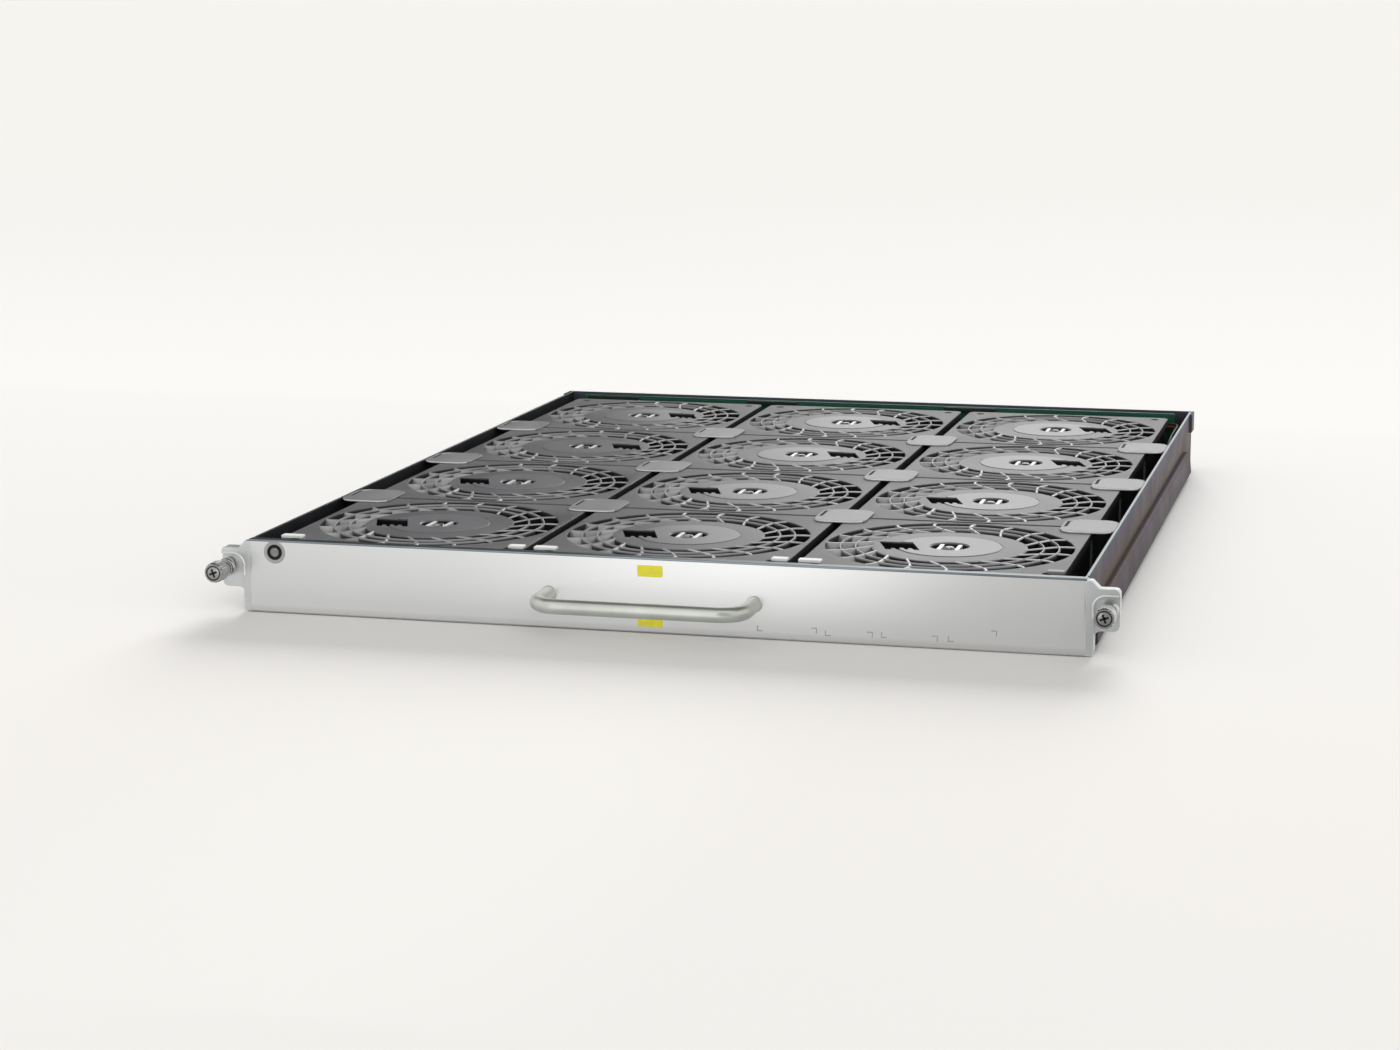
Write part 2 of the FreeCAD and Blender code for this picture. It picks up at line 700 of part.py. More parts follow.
def hold_down_plates():
    # Plates over the corners where fans meet, each on a post that stands on the base.
    plates = []
    for row in range(1, ROWS):
        y = FRONT + FIRST_HUB + (row - 0.5) * ROW_PITCH
        for column in range(COLUMNS + 1):
            x = (column - COLUMNS / 2) * COLUMN_PITCH
            x0 = max(x - PLATE_WIDTH / 2, -HALF_IN)
            x1 = min(x + PLATE_WIDTH / 2, HALF_IN)
            if column == 0:
                x1 = x0 + PLATE_WIDTH
            if column == COLUMNS:
                x0 = x1 - PLATE_WIDTH
            plan = chamfered(x0, x1, y - PLATE_LENGTH / 2, y + PLATE_LENGTH / 2, PLATE_CORNER)
            plate = prism(plan, FAN_TOP, FAN_TOP + PLATE_SHEET)
            post_x = min(max(x, -SIDE_POST_X), SIDE_POST_X)
            post = block(
                post_x - POST_WIDTH / 2, post_x + POST_WIDTH / 2,
                y - POST_LENGTH / 2, y + POST_LENGTH / 2, BASE_SHEET, FAN_TOP,
            )
            plates.append(plate.fuse(post))
    return Part.makeCompound(plates)


def corner_pads():
    # Bright pads on the front corners of the front row of fans.
    pads = []
    y = FRONT + FIRST_HUB - FAN_SIDE / 2 + PAD_SETBACK
    for column in range(COLUMNS):
        x = (column - (COLUMNS - 1) / 2) * COLUMN_PITCH
        left = x - FAN_SIDE / 2
        right = x + FAN_SIDE / 2
        for x0, x1 in ((left, left + LEFT_PAD_WIDTH), (right - RIGHT_PAD_WIDTH, right)):
            pads.append(block(x0, x1, y, y + PAD_LENGTH, FAN_TOP, FAN_TOP + PAD_SHEET))
    return Part.makeCompound(pads)


def control_board():
    return block(BOARD_LEFT, BOARD_RIGHT, BOARD_FRONT, BOARD_REAR, BOARD_BOTTOM, BOARD_TOP)


def board_standoffs():
    posts = []
    spread = (BOARD_RIGHT - BOARD_LEFT) / STANDOFFS
    for i in range(STANDOFFS):
        post = round_bar(HEX, STANDOFF_RADIUS, 0, BOARD_STANDOFF)
        x = BOARD_LEFT + spread * (i + 0.5)
        posts.append(to_front(post, x, INNER_REAR, BOARD_BOTTOM + STANDOFF_LIFT))
    return Part.makeCompound(posts)


def fan_headers():
    # One lead socket per fan along the top of the board.
    headers = []
    length, depth, height = HEADER_SIZE
    count = COLUMNS * ROWS
    spread = (BOARD_RIGHT - BOARD_LEFT - length) / (count - 1)
    for i in range(count):
        x = BOARD_LEFT + spread * i
        headers.append(block(
            x, x + length, BOARD_FRONT - depth, BOARD_FRONT,
            HEADER_Z - height / 2, HEADER_Z + height / 2,
        ))
    return Part.makeCompound(headers)


def board_components():
    pieces = []
    length, depth, height = CHIP_SIZE
    for x in CHIP_XS:
        z = BOARD_BOTTOM + CHIP_LIFT
        pieces.append(block(x - length / 2, x + length / 2, BOARD_FRONT - depth, BOARD_FRONT, z, z + height))
    for x in CAPACITOR_XS:
        can = round_bar(SMALL_SIDES, CAPACITOR_RADIUS, 0, CAPACITOR_LENGTH)
        pieces.append(to_front(can, x, BOARD_FRONT, BOARD_BOTTOM + CAPACITOR_LIFT))
    return Part.makeCompound(pieces)


def backplane_connector():
    # Shrouded plug that reaches out through the rear wall.
    length, height = CONNECTOR_SIZE
    low = CONNECTOR_Z - height / 2
    body = block(-length / 2, length / 2, BOARD_REAR, REAR + REAR_REACH, low, low + height)
    wall = CONNECTOR_WALL
    mouth = block(
        -length / 2 + wall, length / 2 - wall, REAR, REAR + REAR_REACH, low + wall, low + height - wall,
    )
    return body.cut(mouth)


def guide_pins():
    # Tapered pins that bring the tray into line with its chassis.
    pins = []
    profile = [(PIN_RADIUS, 0), (PIN_RADIUS, REAR_REACH / 2), (PIN_TIP_RADIUS, REAR_REACH - PIN_SETBACK)]
    for x in (-PIN_SPREAD / 2, PIN_SPREAD / 2):
        pin = flat_sided_turning(SMALL_SIDES, profile)
        pin.rotate(CENTRE, FreeCAD.Vector(1, 0, 0), -90)
        pin.translate(FreeCAD.Vector(x, REAR, CONNECTOR_Z))
        pins.append(pin)
    return Part.makeCompound(pins)


def fan_lead():
    # Leaves the last right-hand fan, slopes up in the gap and turns into the end socket of the board.
    sideways = FreeCAD.Vector(1, 0, 0)
    fan_edge = (COLUMNS - 1) / 2 * COLUMN_PITCH + FAN_SIDE / 2
    start = FreeCAD.Vector(fan_edge, FRONT + LEAD_START, LEAD_Z)
    stub = start + sideways * LEAD_STUB
    first_bend = LEAD_X - stub.x
    middle = stub + FreeCAD.Vector(0, first_bend, 0)
    points = [start] + arc_points(middle, stub, UP, 90, BEND_STEPS)
    foot = FreeCAD.Vector(LEAD_X, FRONT + LEAD_RISE, LEAD_Z)
    points += arc_points(foot + UP * LEAD_BEND, foot, sideways, LEAD_SLOPE, BEND_STEPS)
    slope = math.radians(LEAD_SLOPE)
    rise = HEADER_Z - LEAD_Z - 2 * LEAD_BEND * (1 - math.cos(slope))
    shoulder = points[-1] + FreeCAD.Vector(0, rise / math.tan(slope), rise)
    middle = shoulder - FreeCAD.Rotation(sideways, LEAD_SLOPE).multVec(UP) * LEAD_BEND
    points += arc_points(middle, shoulder, sideways, -LEAD_SLOPE, BEND_STEPS)
    last_bend = LEAD_X - BOARD_RIGHT - LEAD_STUB
    socket_y = BOARD_FRONT - HEADER_SIZE[1] / 2
    middle = FreeCAD.Vector(BOARD_RIGHT + LEAD_STUB, socket_y - last_bend, HEADER_Z)
    points += arc_points(middle, middle + sideways * last_bend, UP, 90, BEND_STEPS)
    points.append(FreeCAD.Vector(BOARD_RIGHT, socket_y, HEADER_Z))
    return swept_bar(points, HEX, LEAD_RADIUS)


def write(name, shape):
    shape.exportStep("parts/" + name + ".step")


def main():
    os.makedirs("parts", exist_ok=True)
    housing = fan_housing()
    stator = fan_stator()
    impeller = fan_impeller()
    bearing = shaft_bearing()
    places = fan_places()
    for number, (x, y, turn) in enumerate(places, start=1):
        write("fan_housing_%02d" % number, placed(housing, x, y, turn))
        write("fan_impeller_%02d" % number, placed(impeller, x, y, turn))
    rings = Part.makeCompound([guard_ring(INNER_RING_RADIUS), guard_ring(OUTER_RING_RADIUS)])
    for name, shape in (("fan_stators", stator), ("guard_rings", rings), ("shaft_bearings", bearing)):
        write(name, Part.makeCompound([placed(shape, x, y, turn) for x, y, turn in places]))
    pairs = {
        "side_wall": side_wall(),
        "guide_rail": guide_rail(),
        "thumbscrew": thumbscrew(),
        "thumbscrew_spring": thumbscrew_spring(),
        "thumbscrew_ferrule": thumbscrew_ferrule(),
        "thumbscrew_retainer": retaining_ring(),
    }
    for name, shape in pairs.items():
        write("right_" + name, shape)
        write("left_" + name, mirrored(shape))
    singles = {
        "base_pan": base_pan(),
        "rear_wall": rear_wall(),
        "front_panel": front_panel(),
        "rail_rivets": rail_rivets(),
        "handle": handle(),
        "handle_screws": handle_screws(),
        "led_bezel": led_bezel(),
        "led_lens": led_lens(),
        "hold_down_plates": hold_down_plates(),
        "corner_pads": corner_pads(),
        "control_board": control_board(),
        "board_standoffs": board_standoffs(),
        "fan_headers": fan_headers(),
        "board_components": board_components(),
        "backplane_connector": backplane_connector(),
        "guide_pins": guide_pins(),
        "fan_lead": fan_lead(),
    }
    for name, shape in singles.items():
        write(name, shape)


main()
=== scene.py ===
from math import atan2, cos, hypot, pi, radians, sin, tan

import bmesh
import bpy
from mathutils import Matrix, Vector


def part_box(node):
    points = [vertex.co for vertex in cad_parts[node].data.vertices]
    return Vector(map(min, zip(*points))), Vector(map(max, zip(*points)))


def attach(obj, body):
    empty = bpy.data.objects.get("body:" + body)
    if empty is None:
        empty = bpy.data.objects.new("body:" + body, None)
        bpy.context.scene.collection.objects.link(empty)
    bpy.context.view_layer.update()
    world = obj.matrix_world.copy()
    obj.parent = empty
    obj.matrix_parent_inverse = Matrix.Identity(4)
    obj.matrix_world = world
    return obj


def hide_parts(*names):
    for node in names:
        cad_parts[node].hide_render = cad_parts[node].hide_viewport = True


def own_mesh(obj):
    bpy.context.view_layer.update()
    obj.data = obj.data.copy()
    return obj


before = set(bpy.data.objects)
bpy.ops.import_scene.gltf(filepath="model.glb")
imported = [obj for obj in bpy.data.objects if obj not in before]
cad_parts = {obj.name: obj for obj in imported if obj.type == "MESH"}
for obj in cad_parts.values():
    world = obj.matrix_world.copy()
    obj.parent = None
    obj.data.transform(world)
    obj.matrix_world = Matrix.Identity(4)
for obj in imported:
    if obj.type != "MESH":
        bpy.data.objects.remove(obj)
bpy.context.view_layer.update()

# Looks of the fan tray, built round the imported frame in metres.
MM = 0.001
FAN_COUNT = 12
SMOOTH_ANGLE = radians(34)


def centre_of(node):
    low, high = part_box(node)
    return (low + high) / 2


# Places taken from the frame
FAN_LOW, FAN_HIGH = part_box("fan_housing_01")
FAN_BOTTOM = FAN_LOW.z
FAN_TOP = FAN_HIGH.z
FAN_HALF = (FAN_HIGH.x - FAN_LOW.x) / 2
FAN_CENTRES = [centre_of("fan_housing_%02d" % number) for number in range(1, FAN_COUNT + 1)]
PANEL_LOW, PANEL_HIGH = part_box("front_panel")
FRONT = PANEL_LOW.y
WALL_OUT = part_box("right_side_wall")[1].x
SCREW = centre_of("right_thumbscrew")

# Camera found from the hub centres and panel edges in the photograph, placed from the middle of the panel
CAMERA_OFFSET = (0.34065, -1.22054, 0.28756)
CAMERA_AZIMUTH = radians(14.61)
CAMERA_ELEVATION = radians(10.61)
CAMERA_ROLL = radians(-0.19)
CAMERA_LENS = 73.43

# Fan housing
FRAME_CORNER = 4 * MM
FRAME_EDGE = 0.5 * MM
FLANGE = 4.5 * MM
WAIST_INSET = 1.4 * MM
DUCT_RADIUS = 57.6 * MM
DUCT_SIDES = 96
SCREW_HOLE_PLACE = 52.5 * MM
SCREW_HOLE_RADIUS = 2.3 * MM

# Stator; the vane's profile gives half thicknesses to the side and shares of the height
STATOR_HEIGHT = 12 * MM
STATOR_BOTTOM = FAN_TOP - STATOR_HEIGHT
VANES = 19
VANE_SHEET = 2 * MM
VANE_LEAN = 8.5 * MM
VANE_LEAN_CURVE = 1.4
VANE_STEPS = 10
VANE_INNER_SWEEP = (radians(40), radians(22))
VANE_OUTER_SWEEP = (radians(22), radians(-34))
VANE_PROFILE = ((-1, 0.0), (-1, 0.33), (-1, 0.66), (-1, 0.95), (-0.5, 0.99),
                (0.5, 0.99), (1, 0.95), (1, 0.66), (1, 0.33), (1, 0.0))
HUB_RADIUS = 36.4 * MM
HUB_HOLE_RADIUS = 8.8 * MM
HUB_DISC_RADIUS = 24.4 * MM
HUB_GROOVE = 0.5 * MM
RING_RADII = (43.5 * MM, 50.6 * MM)
RING_WIDTH = 1.1 * MM
RING_HEIGHT = 2.5 * MM
RING_CROWN = 0.6 * MM
SOCKET_PLACE = (-23 * MM, -3.5 * MM)
SOCKET_SIZE = (16 * MM, 18 * MM)
SOCKET_SLANT = 0.36
SOCKET_DEPTH = 8 * MM
SOCKET_TEETH = 3
TOOTH_WIDTH = 2.6 * MM
TOOTH_REACH = 3.2 * MM
# Bright bars in each bore: painted highlights for glints on the bore's wall.
GLINT_BAR_PLACE = 4.2 * MM
GLINT_BAR_WIDTH = 2 * MM
GLINT_BAR_REACH = 6.6 * MM
GLINT_BAR_DROP = 0.4 * MM

# Rotor; pairs are for a blade's root and tip, and its outline gives half chords along and thicknesses across
ROTOR_RADIUS = 35 * MM
SHAFT_RADIUS = 2.5 * MM
BLADES = 5
BLADE_STEPS = 7
BLADE_RADII = (ROTOR_RADIUS - 1.5 * MM, 55 * MM)
BLADE_CHORDS = (20 * MM, 29 * MM)
BLADE_PITCHES = (radians(42), radians(28))
BLADE_SHEETS = (1.5 * MM, 0.9 * MM)
BLADE_CAMBER = 2.2 * MM
BLADE_OUTLINE = ((-1.0, 0.1), (-0.8, 0.75), (-0.3, 1.0), (0.3, 0.8), (0.8, 0.35), (1.0, 0.08),
                 (1.0, -0.08), (0.8, -0.2), (0.3, -0.3), (-0.3, -0.35), (-0.8, -0.3), (-1.0, -0.1))

# Base, walls and rails
INLET_RADIUS = 57 * MM
WALL_EDGE = 0.45 * MM
RAIL_SHEET = 1.4 * MM
RAIL_TAPER = 14 * MM
RAIL_SHOULDER = 2 * MM
RAIL_FOOT = 0.8 * MM

# Panel, handle and the right-hand ear, in X and Z; steps in Y from the panel's front
PANEL_ROUND = 1.3 * MM
PANEL_SHEET = 1.6 * MM
PANEL_RETURN = 4.6 * MM
HANDLE_BEND = 11 * MM
EAR_STRIP = 199.9 * MM
EAR_TOP = 30.6 * MM
EAR_BOTTOM = 11.5 * MM
EAR_STEP = 0.4 * MM
EAR_SHEET = 1.5 * MM
EAR_FLOOR = FRONT + EAR_STEP + EAR_SHEET
EAR_CORNER = 2.3 * MM
EAR_HOLE = 3.4 * MM
STRIP_CORNER = 2.2 * MM
POCKET_TOP = 27.2 * MM
POCKET_CORNER = 5 * MM
LOBE_FILLET = 3 * MM
LOBE_CORNER = 2.8 * MM
BEAD_RADIUS = 0.55 * MM
BEAD_END = 17.5 * MM

# Hold-down plates, their posts, and pads
PLATE_HALF = (13 * MM, 16 * MM)
PLATE_CORNER = 7 * MM
SLOT_INSET = 1.2 * MM
SLOT_WIDTH = 1.5 * MM
SLOT_START = -4 * MM
POST_HALF = (2 * MM, 0.95 * MM)
POST_REACH = 182 * MM
LEFT_PAD_WIDTH = 10.5 * MM
RIGHT_PAD_WIDTH = 7.5 * MM
PAD_DEPTH = 5 * MM
PAD_HEIGHT = 1.3 * MM

# Thumbscrews
KNOB_RADIUS = 4.8 * MM
KNOB_LENGTH = 9 * MM
KNURLS = 24
KNURL_DEPTH = 0.35 * MM
SHANK_RADIUS = 1.78 * MM
SCREW_BORE = 1.9 * MM
THREAD_PITCH = 0.7 * MM
THREAD_START = -8.5 * MM
THREAD_ROOT = 1.6 * MM
THREAD_CREST = 2 * MM
CROSS_HALF = (2.1 * MM, 0.5 * MM)
CROSS_TURNS = (20, 110)
FERRULE_NECK = 3.3 * MM
FERRULE_HEAD = 4.3 * MM
SPRING_TURNS = 3.5
SPRING_RADII = (3.8 * MM, 2.4 * MM)
SPRING_WIRE = 0.3 * MM

# Status light
LENS_RADIUS = 2.3 * MM
LIGHT_DEPTH = 1.5 * MM
SURROUND_WIDTH = 1.7 * MM

# Control board behind the last row; the lead's route and offset are in millimetres, from the panel's front
BOARD_DROP = 0.5 * MM
BOARD_REACH = 4.5 * MM
STRIP_SIZE = (32 * MM, 2.5 * MM, 2.6 * MM)
STRIP_PLACES = (-166 * MM, -62.5 * MM, 62.5 * MM)
HEADER_LENGTH = 11 * MM
HEADER_WALL = 1 * MM
HEADER_PINS = 3
PIN_HALF = 0.35 * MM
LEAD_ROUTE = ((185.0, 380.0, 8.0), (190.0, 380.0, 8.0), (190.0, 398.0, 8.0), (190.0, 425.6, 23.0),
              (190.0, 452.6, 28.0), (190.0, 482.6, 28.0), (190.0, 503.5, 28.0), (183.0, 503.5, 28.0))
LEAD_OFFSET = 0.75
WIRE_RADIUS = 0.8 * MM

# Rear connector
PLUG_ROWS = 2
PLUG_COLUMNS = 20
PLUG_MARGIN = 5 * MM

# Stickers and corner marks on the panel, from the panel's middle and its top edge; marks in millimetres
STICKER_SIZE = (11.9 * MM, 5.3 * MM)
STICKER_X = -1 * MM
STICKER_DROPS = (6.05 * MM, 29.2 * MM)
MARK_LENGTH = 2.6 * MM
MARK_LINE = 0.45 * MM
LOW_MARKS = ((48.8, 31.1), (80.1, 31.7), (105.6, 31.2), (135.7, 31.4))
HIGH_MARKS = ((76.4, 28.2), (101.9, 28.7), (131.2, 28.9), (157.5, 25.2))

# Studio: the floor's tones from near to far, the lamps, and cards that only reflections see
FLOOR_SPAN = (-1.0, 3.0)
FLOOR_TONES = (
    (0.0, (0.80, 0.79, 0.765)), (0.15, (0.845, 0.825, 0.80)), (0.25, (0.865, 0.855, 0.84)),
    (0.352, (0.885, 0.877, 0.862)), (0.364, (0.90, 0.892, 0.877)), (0.60, (0.87, 0.862, 0.84)),
    (1.0, (0.85, 0.842, 0.815)),
)
WORLD_COLOUR = (1.0, 0.995, 0.98, 1)
WORLD_LIGHT = 0.56
WORLD_SEEN = 0.86
LAMPS = (("key", (0.05, -1.0, -0.33), 3.97, 30), ("fill", (-0.5, 0.8, -0.48), 0.9, 40))
CARDS = (
    ("dark_card", (-1.67, 2.1, 0.85), (-0.1, 0.0, 0.03), (2.2, 1.7), 0.02),
    ("bright_card", (0.36, 2.2, 0.90), (0.1, 0.1, 0.03), (1.78, 1.0), 1.45),
    ("top_card", (0, FRONT + 0.3, 0.6), (0, FRONT + 0.3, 0), (1.2, 0.8), 0.03),
)

# Cards before the panel: brightness from the left end to the right end, and close to the panel
FLOOR_GLOW = ((0.0, 0.46), (0.25, 0.53), (0.42, 0.89), (0.55, 1.0), (0.66, 0.66), (0.74, 0.27), (1.0, 0.25))
FRONT_GLOW = ((0.0, 0.46), (0.15, 0.53), (0.30, 0.89), (0.42, 1.0), (0.50, 0.66), (0.57, 0.27), (1.0, 0.25))
NEAR_GLOW = ((0.0, 0.37), (0.30, 0.29), (0.50, 0.25), (0.75, 0.22), (1.0, 0.21))
NEAR_REACH = (0.03, 0.15)
CARD_POWER = 1.4
GRADED_CARDS = (
    ("floor_card", (0, FRONT - 0.25, 1 * MM), (0, FRONT - 0.25, 1.0), (0.9, 0.5), FLOOR_GLOW, 0.25),
    ("front_card", (0, FRONT - 0.5, 0.3), (0, FRONT, 0.3), (1.2, 0.6), FRONT_GLOW, 0.4),
)


# Outlines

def circle(radius, sides, x=0.0, y=0.0):
    turns = [2 * pi * i / sides for i in range(sides)]
    return [(x + radius * cos(t), y + radius * sin(t)) for t in turns]


def arc(x, y, radius, start, end, steps=8):
    # Points on a circle from one angle to another, in degrees.
    turns = [radians(start + (end - start) * i / steps) for i in range(steps + 1)]
    return [(x + radius * cos(t), y + radius * sin(t)) for t in turns]


def rounded_box(x0, x1, y0, y1, radius, steps=6):
    # Outline of a rectangle with round corners.
    left, right, low, high = x0 + radius, x1 - radius, y0 + radius, y1 - radius
    points = []
    for i, (x, y) in enumerate(((right, high), (left, high), (left, low), (right, low))):
        points += arc(x, y, radius, 90 * i, 90 * i + 90, steps)
    return points


def centred_box(x, y, half_x, half_y, radius, steps=6):
    return rounded_box(x - half_x, x + half_x, y - half_y, y + half_y, radius, steps)


def between(ends, share):
    return ends[0] + (ends[1] - ends[0]) * share


def polar(radius, turn, z):
    return radius * cos(turn), radius * sin(turn), z


# Meshes

def smooth(mesh):
    mesh.shade_smooth()
    mesh.set_sharp_from_angle(angle=SMOOTH_ANGLE)
    return mesh


def mesh_of(bm, name):
    bmesh.ops.recalc_face_normals(bm, faces=bm.faces)
    mesh = bpy.data.meshes.new(name)
    bm.to_mesh(mesh)
    bm.free()
    return smooth(mesh)


def linked(name, data):
    made = bpy.data.objects.new(name, data)
    bpy.context.scene.collection.objects.link(made)
    return made


def applied(holder):
    # Mesh of an object with its modifiers applied; the object itself goes.
    graph = bpy.context.evaluated_depsgraph_get()
    mesh = bpy.data.meshes.new_from_object(holder.evaluated_get(graph))
    bpy.data.objects.remove(holder)
    return smooth(mesh)


def curve_mesh(curve):
    # Mesh of a curve, with its double points welded; the curve itself goes.
    holder = bpy.data.objects.new(curve.name, curve)
    mesh = bpy.data.meshes.new_from_object(holder)
    bpy.data.objects.remove(holder)
    bpy.data.curves.remove(curve)
    bm = bmesh.new()
    bm.from_mesh(mesh)
    bmesh.ops.remove_doubles(bm, verts=bm.verts, dist=1e-7)
    bmesh.ops.recalc_face_normals(bm, faces=bm.faces)
    bm.to_mesh(mesh)
    bm.free()
    return smooth(mesh)


def add_spline(curve, kind, points):
    spline = curve.splines.new(kind)
    spline.points.add(len(points) - 1)
    for point, place in zip(spline.points, points):
        point.co = (*place, 1)
    return spline


def plate(name, loops, z0, z1, edge=0.0):
    # Flat plate with holes: the first loop is its outline, and all edges are softened.
    curve = bpy.data.curves.new(name, "CURVE")
    curve.dimensions = "2D"
    curve.fill_mode = "BOTH"
    curve.extrude = (z1 - z0) / 2 - edge
    curve.bevel_depth = edge
    curve.bevel_resolution = 1
    curve.offset = -edge
    for loop in loops:
        add_spline(curve, "POLY", [(x, y, 0) for x, y in loop]).use_cyclic_u = True
    mesh = curve_mesh(curve)
    mesh.transform(move(z=(z0 + z1) / 2))
    return mesh


def tube(name, points, radius, sides, nurbs=False):
    # Round bar along a line of points.
    curve = bpy.data.curves.new(name, "CURVE")
    curve.dimensions = "3D"
    curve.bevel_depth = radius
    curve.bevel_resolution = sides
    curve.use_fill_caps = True
    spline = add_spline(curve, "NURBS" if nurbs else "POLY", points)
    if nurbs:
        spline.order_u = 3
        spline.use_endpoint_u = True
        spline.resolution_u = 6
    return curve_mesh(curve)


def lathe(name, profile, sides, closed=False):
    # Turned form from radius and height; a radius of nought is a point on the axis.
    bm = bmesh.new()
    rings = []
    for radius, z in profile:
        points = [(0, 0)] if radius == 0 else circle(radius, sides)
        rings.append([bm.verts.new((x, y, z)) for x, y in points])
    pairs = list(zip(rings, rings[1:]))
    if closed:
        pairs.append((rings[-1], rings[0]))
    for low, high in pairs:
        for i in range(sides):
            n = i + 1
            corners = [low[i % len(low)], low[n % len(low)], high[n % len(high)], high[i % len(high)]]
            corners = list(dict.fromkeys(corners))
            if len(corners) > 2:
                bm.faces.new(corners)
    return mesh_of(bm, name)


def add_loft(bm, sections):
    # Closed body through sections that have the same number of points.
    rows = [[bm.verts.new(p) for p in section] for section in sections]
    count = len(rows[0])
    for first, second in zip(rows, rows[1:]):
        for i in range(count):
            n = (i + 1) % count
            bm.faces.new((first[i], first[n], second[n], second[i]))
    bm.faces.new(rows[0])
    bm.faces.new(rows[-1])


def wheel(name, count, sections):
    # Equal bodies spaced round the axis; the sections of one of them give radius, angle and height.
    bm = bmesh.new()
    for i in range(count):
        start = 2 * pi * i / count
        add_loft(bm, [[polar(radius, start + angle, z) for radius, angle, z in row] for row in sections])
    return mesh_of(bm, name)


def moved(mesh, matrix):
    copy = mesh.copy()
    copy.transform(matrix)
    return copy


def gathered(name, meshes, place=Matrix()):
    # One mesh from several, all moved by one matrix.
    bm = bmesh.new()
    for mesh in meshes:
        copy = moved(mesh, place)
        bm.from_mesh(copy)
        bpy.data.meshes.remove(copy)
    return mesh_of(bm, name)


def cut(mesh, cutter):
    # What is left of a mesh when the cutter is taken out of it.
    base = linked("cut_base", mesh)
    tool = linked("cut_tool", cutter)
    modifier = base.modifiers.new("cut", "BOOLEAN")
    modifier.object = tool
    modifier.solver = "EXACT"
    result = applied(base)
    bpy.data.objects.remove(tool)
    return result


def move(x=0.0, y=0.0, z=0.0):
    return Matrix.Translation((x, y, z))


def turned(angle, axis):
    return Matrix.Rotation(angle, 4, axis)


def upright(x=0.0, y=0.0, z=0.0):
    # Turns a form drawn in X and Y, or turned about Z, so that its Z points to the front.
    return move(x, y, z) @ turned(radians(90), "X")


def piece(name, mesh, slot, material, *nodes, body="tray", place=Matrix()):
    made = linked(name, mesh)
    made.matrix_world = place
    if not mesh.materials:
        mesh.materials.append(material)
    # Flat faces keep flat shading beside their softened edges.
    normals = made.modifiers.new("flat_faces", "WEIGHTED_NORMAL")
    normals.keep_sharp = True
    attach(made, body)
    if nodes:
        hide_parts(*nodes)
    return made


def group(name, meshes, slot, material, *nodes, place=Matrix()):
    # Several meshes as one piece of the tray.
    return piece(name, gathered(name, meshes, place), slot, material, *nodes)


def paint(node, material):
    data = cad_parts[node].data
    data.materials.clear()
    data.materials.append(material)


def tone_faces(mesh, first, *others):
    # Several materials on one mesh: each of the others is for the faces that its test chooses.
    mesh.materials.append(first)
    for index, (material, chosen) in enumerate(others, 1):
        mesh.materials.append(material)
        for face in mesh.polygons:
            if chosen(face):
                face.material_index = index
    return mesh


# Materials

NOISE_RANGE = (0.3, 0.7)
MIX_SHARE, MIX_FIRST, MIX_SECOND, MIX_RESULT = 0, 6, 7, 2


def fill(node, **values):
    # Sets a node's inputs; an underscore here stands for a space in an input's name.
    for name, value in values.items():
        node.inputs[name.replace("_", " ")].default_value = value
    return node


def new_material(name, metallic=0.0, specular=0.5, coat=0.0, coat_rough=0.03):
    # Material with its node tree and its shader.
    material = bpy.data.materials.new(name)
    material.use_nodes = True
    tree = material.node_tree
    shader = fill(tree.nodes["Principled BSDF"], Metallic=metallic, Specular_IOR_Level=specular,
                  Coat_Weight=coat, Coat_Roughness=coat_rough)
    return material, tree, shader


def add_node(tree, kind, **values):
    return fill(tree.nodes.new("ShaderNode" + kind), **values)


def join(tree, out_socket, in_socket):
    tree.links.new(out_socket, in_socket)


def place_node(tree, stretch=(1, 1, 1)):
    # Object coordinates, stretched so that a pattern can run along one axis.
    coordinates = add_node(tree, "TexCoord")
    mapping = add_node(tree, "Mapping", Scale=stretch)
    join(tree, coordinates.outputs["Object"], mapping.inputs["Vector"])
    return mapping.outputs["Vector"]


def axis_of(tree, vector, axis):
    split = add_node(tree, "SeparateXYZ")
    join(tree, vector, split.inputs["Vector"])
    return split.outputs[axis]


def noise(tree, vector, scale, detail=3.0, distortion=0.0):
    node = add_node(tree, "TexNoise", Scale=scale, Detail=detail, Distortion=distortion)
    join(tree, vector, node.inputs["Vector"])
    return node.outputs["Fac"]


def scaled(tree, value, low, high, to_low=0.0, to_high=1.0):
    node = add_node(tree, "MapRange", From_Min=low, From_Max=high, To_Min=to_low, To_Max=to_high)
    join(tree, value, node.inputs["Value"])
    return node.outputs["Result"]


def ramp(tree, value, stops):
    node = add_node(tree, "ValToRGB")
    elements = node.color_ramp.elements
    while len(elements) < len(stops):
        elements.new(0.5)
    for element, (position, colour) in zip(elements, stops):
        element.position = position
        element.color = (*colour, 1)
    join(tree, value, node.inputs["Fac"])
    return node.outputs["Color"]


def grey_ramp(tree, value, stops):
    return ramp(tree, value, [(position, (level,) * 3) for position, level in stops])


def colour_mix(tree, first, second, blend="MIX"):
    node = add_node(tree, "Mix")
    node.data_type = "RGBA"
    node.blend_type = blend
    join(tree, first, node.inputs[MIX_FIRST])
    join(tree, second, node.inputs[MIX_SECOND])
    return node


def bump(tree, shader, height, strength, depth):
    node = add_node(tree, "Bump", Strength=strength, Distance=depth)
    join(tree, height, node.inputs["Height"])
    join(tree, node.outputs["Normal"], shader.inputs["Normal"])


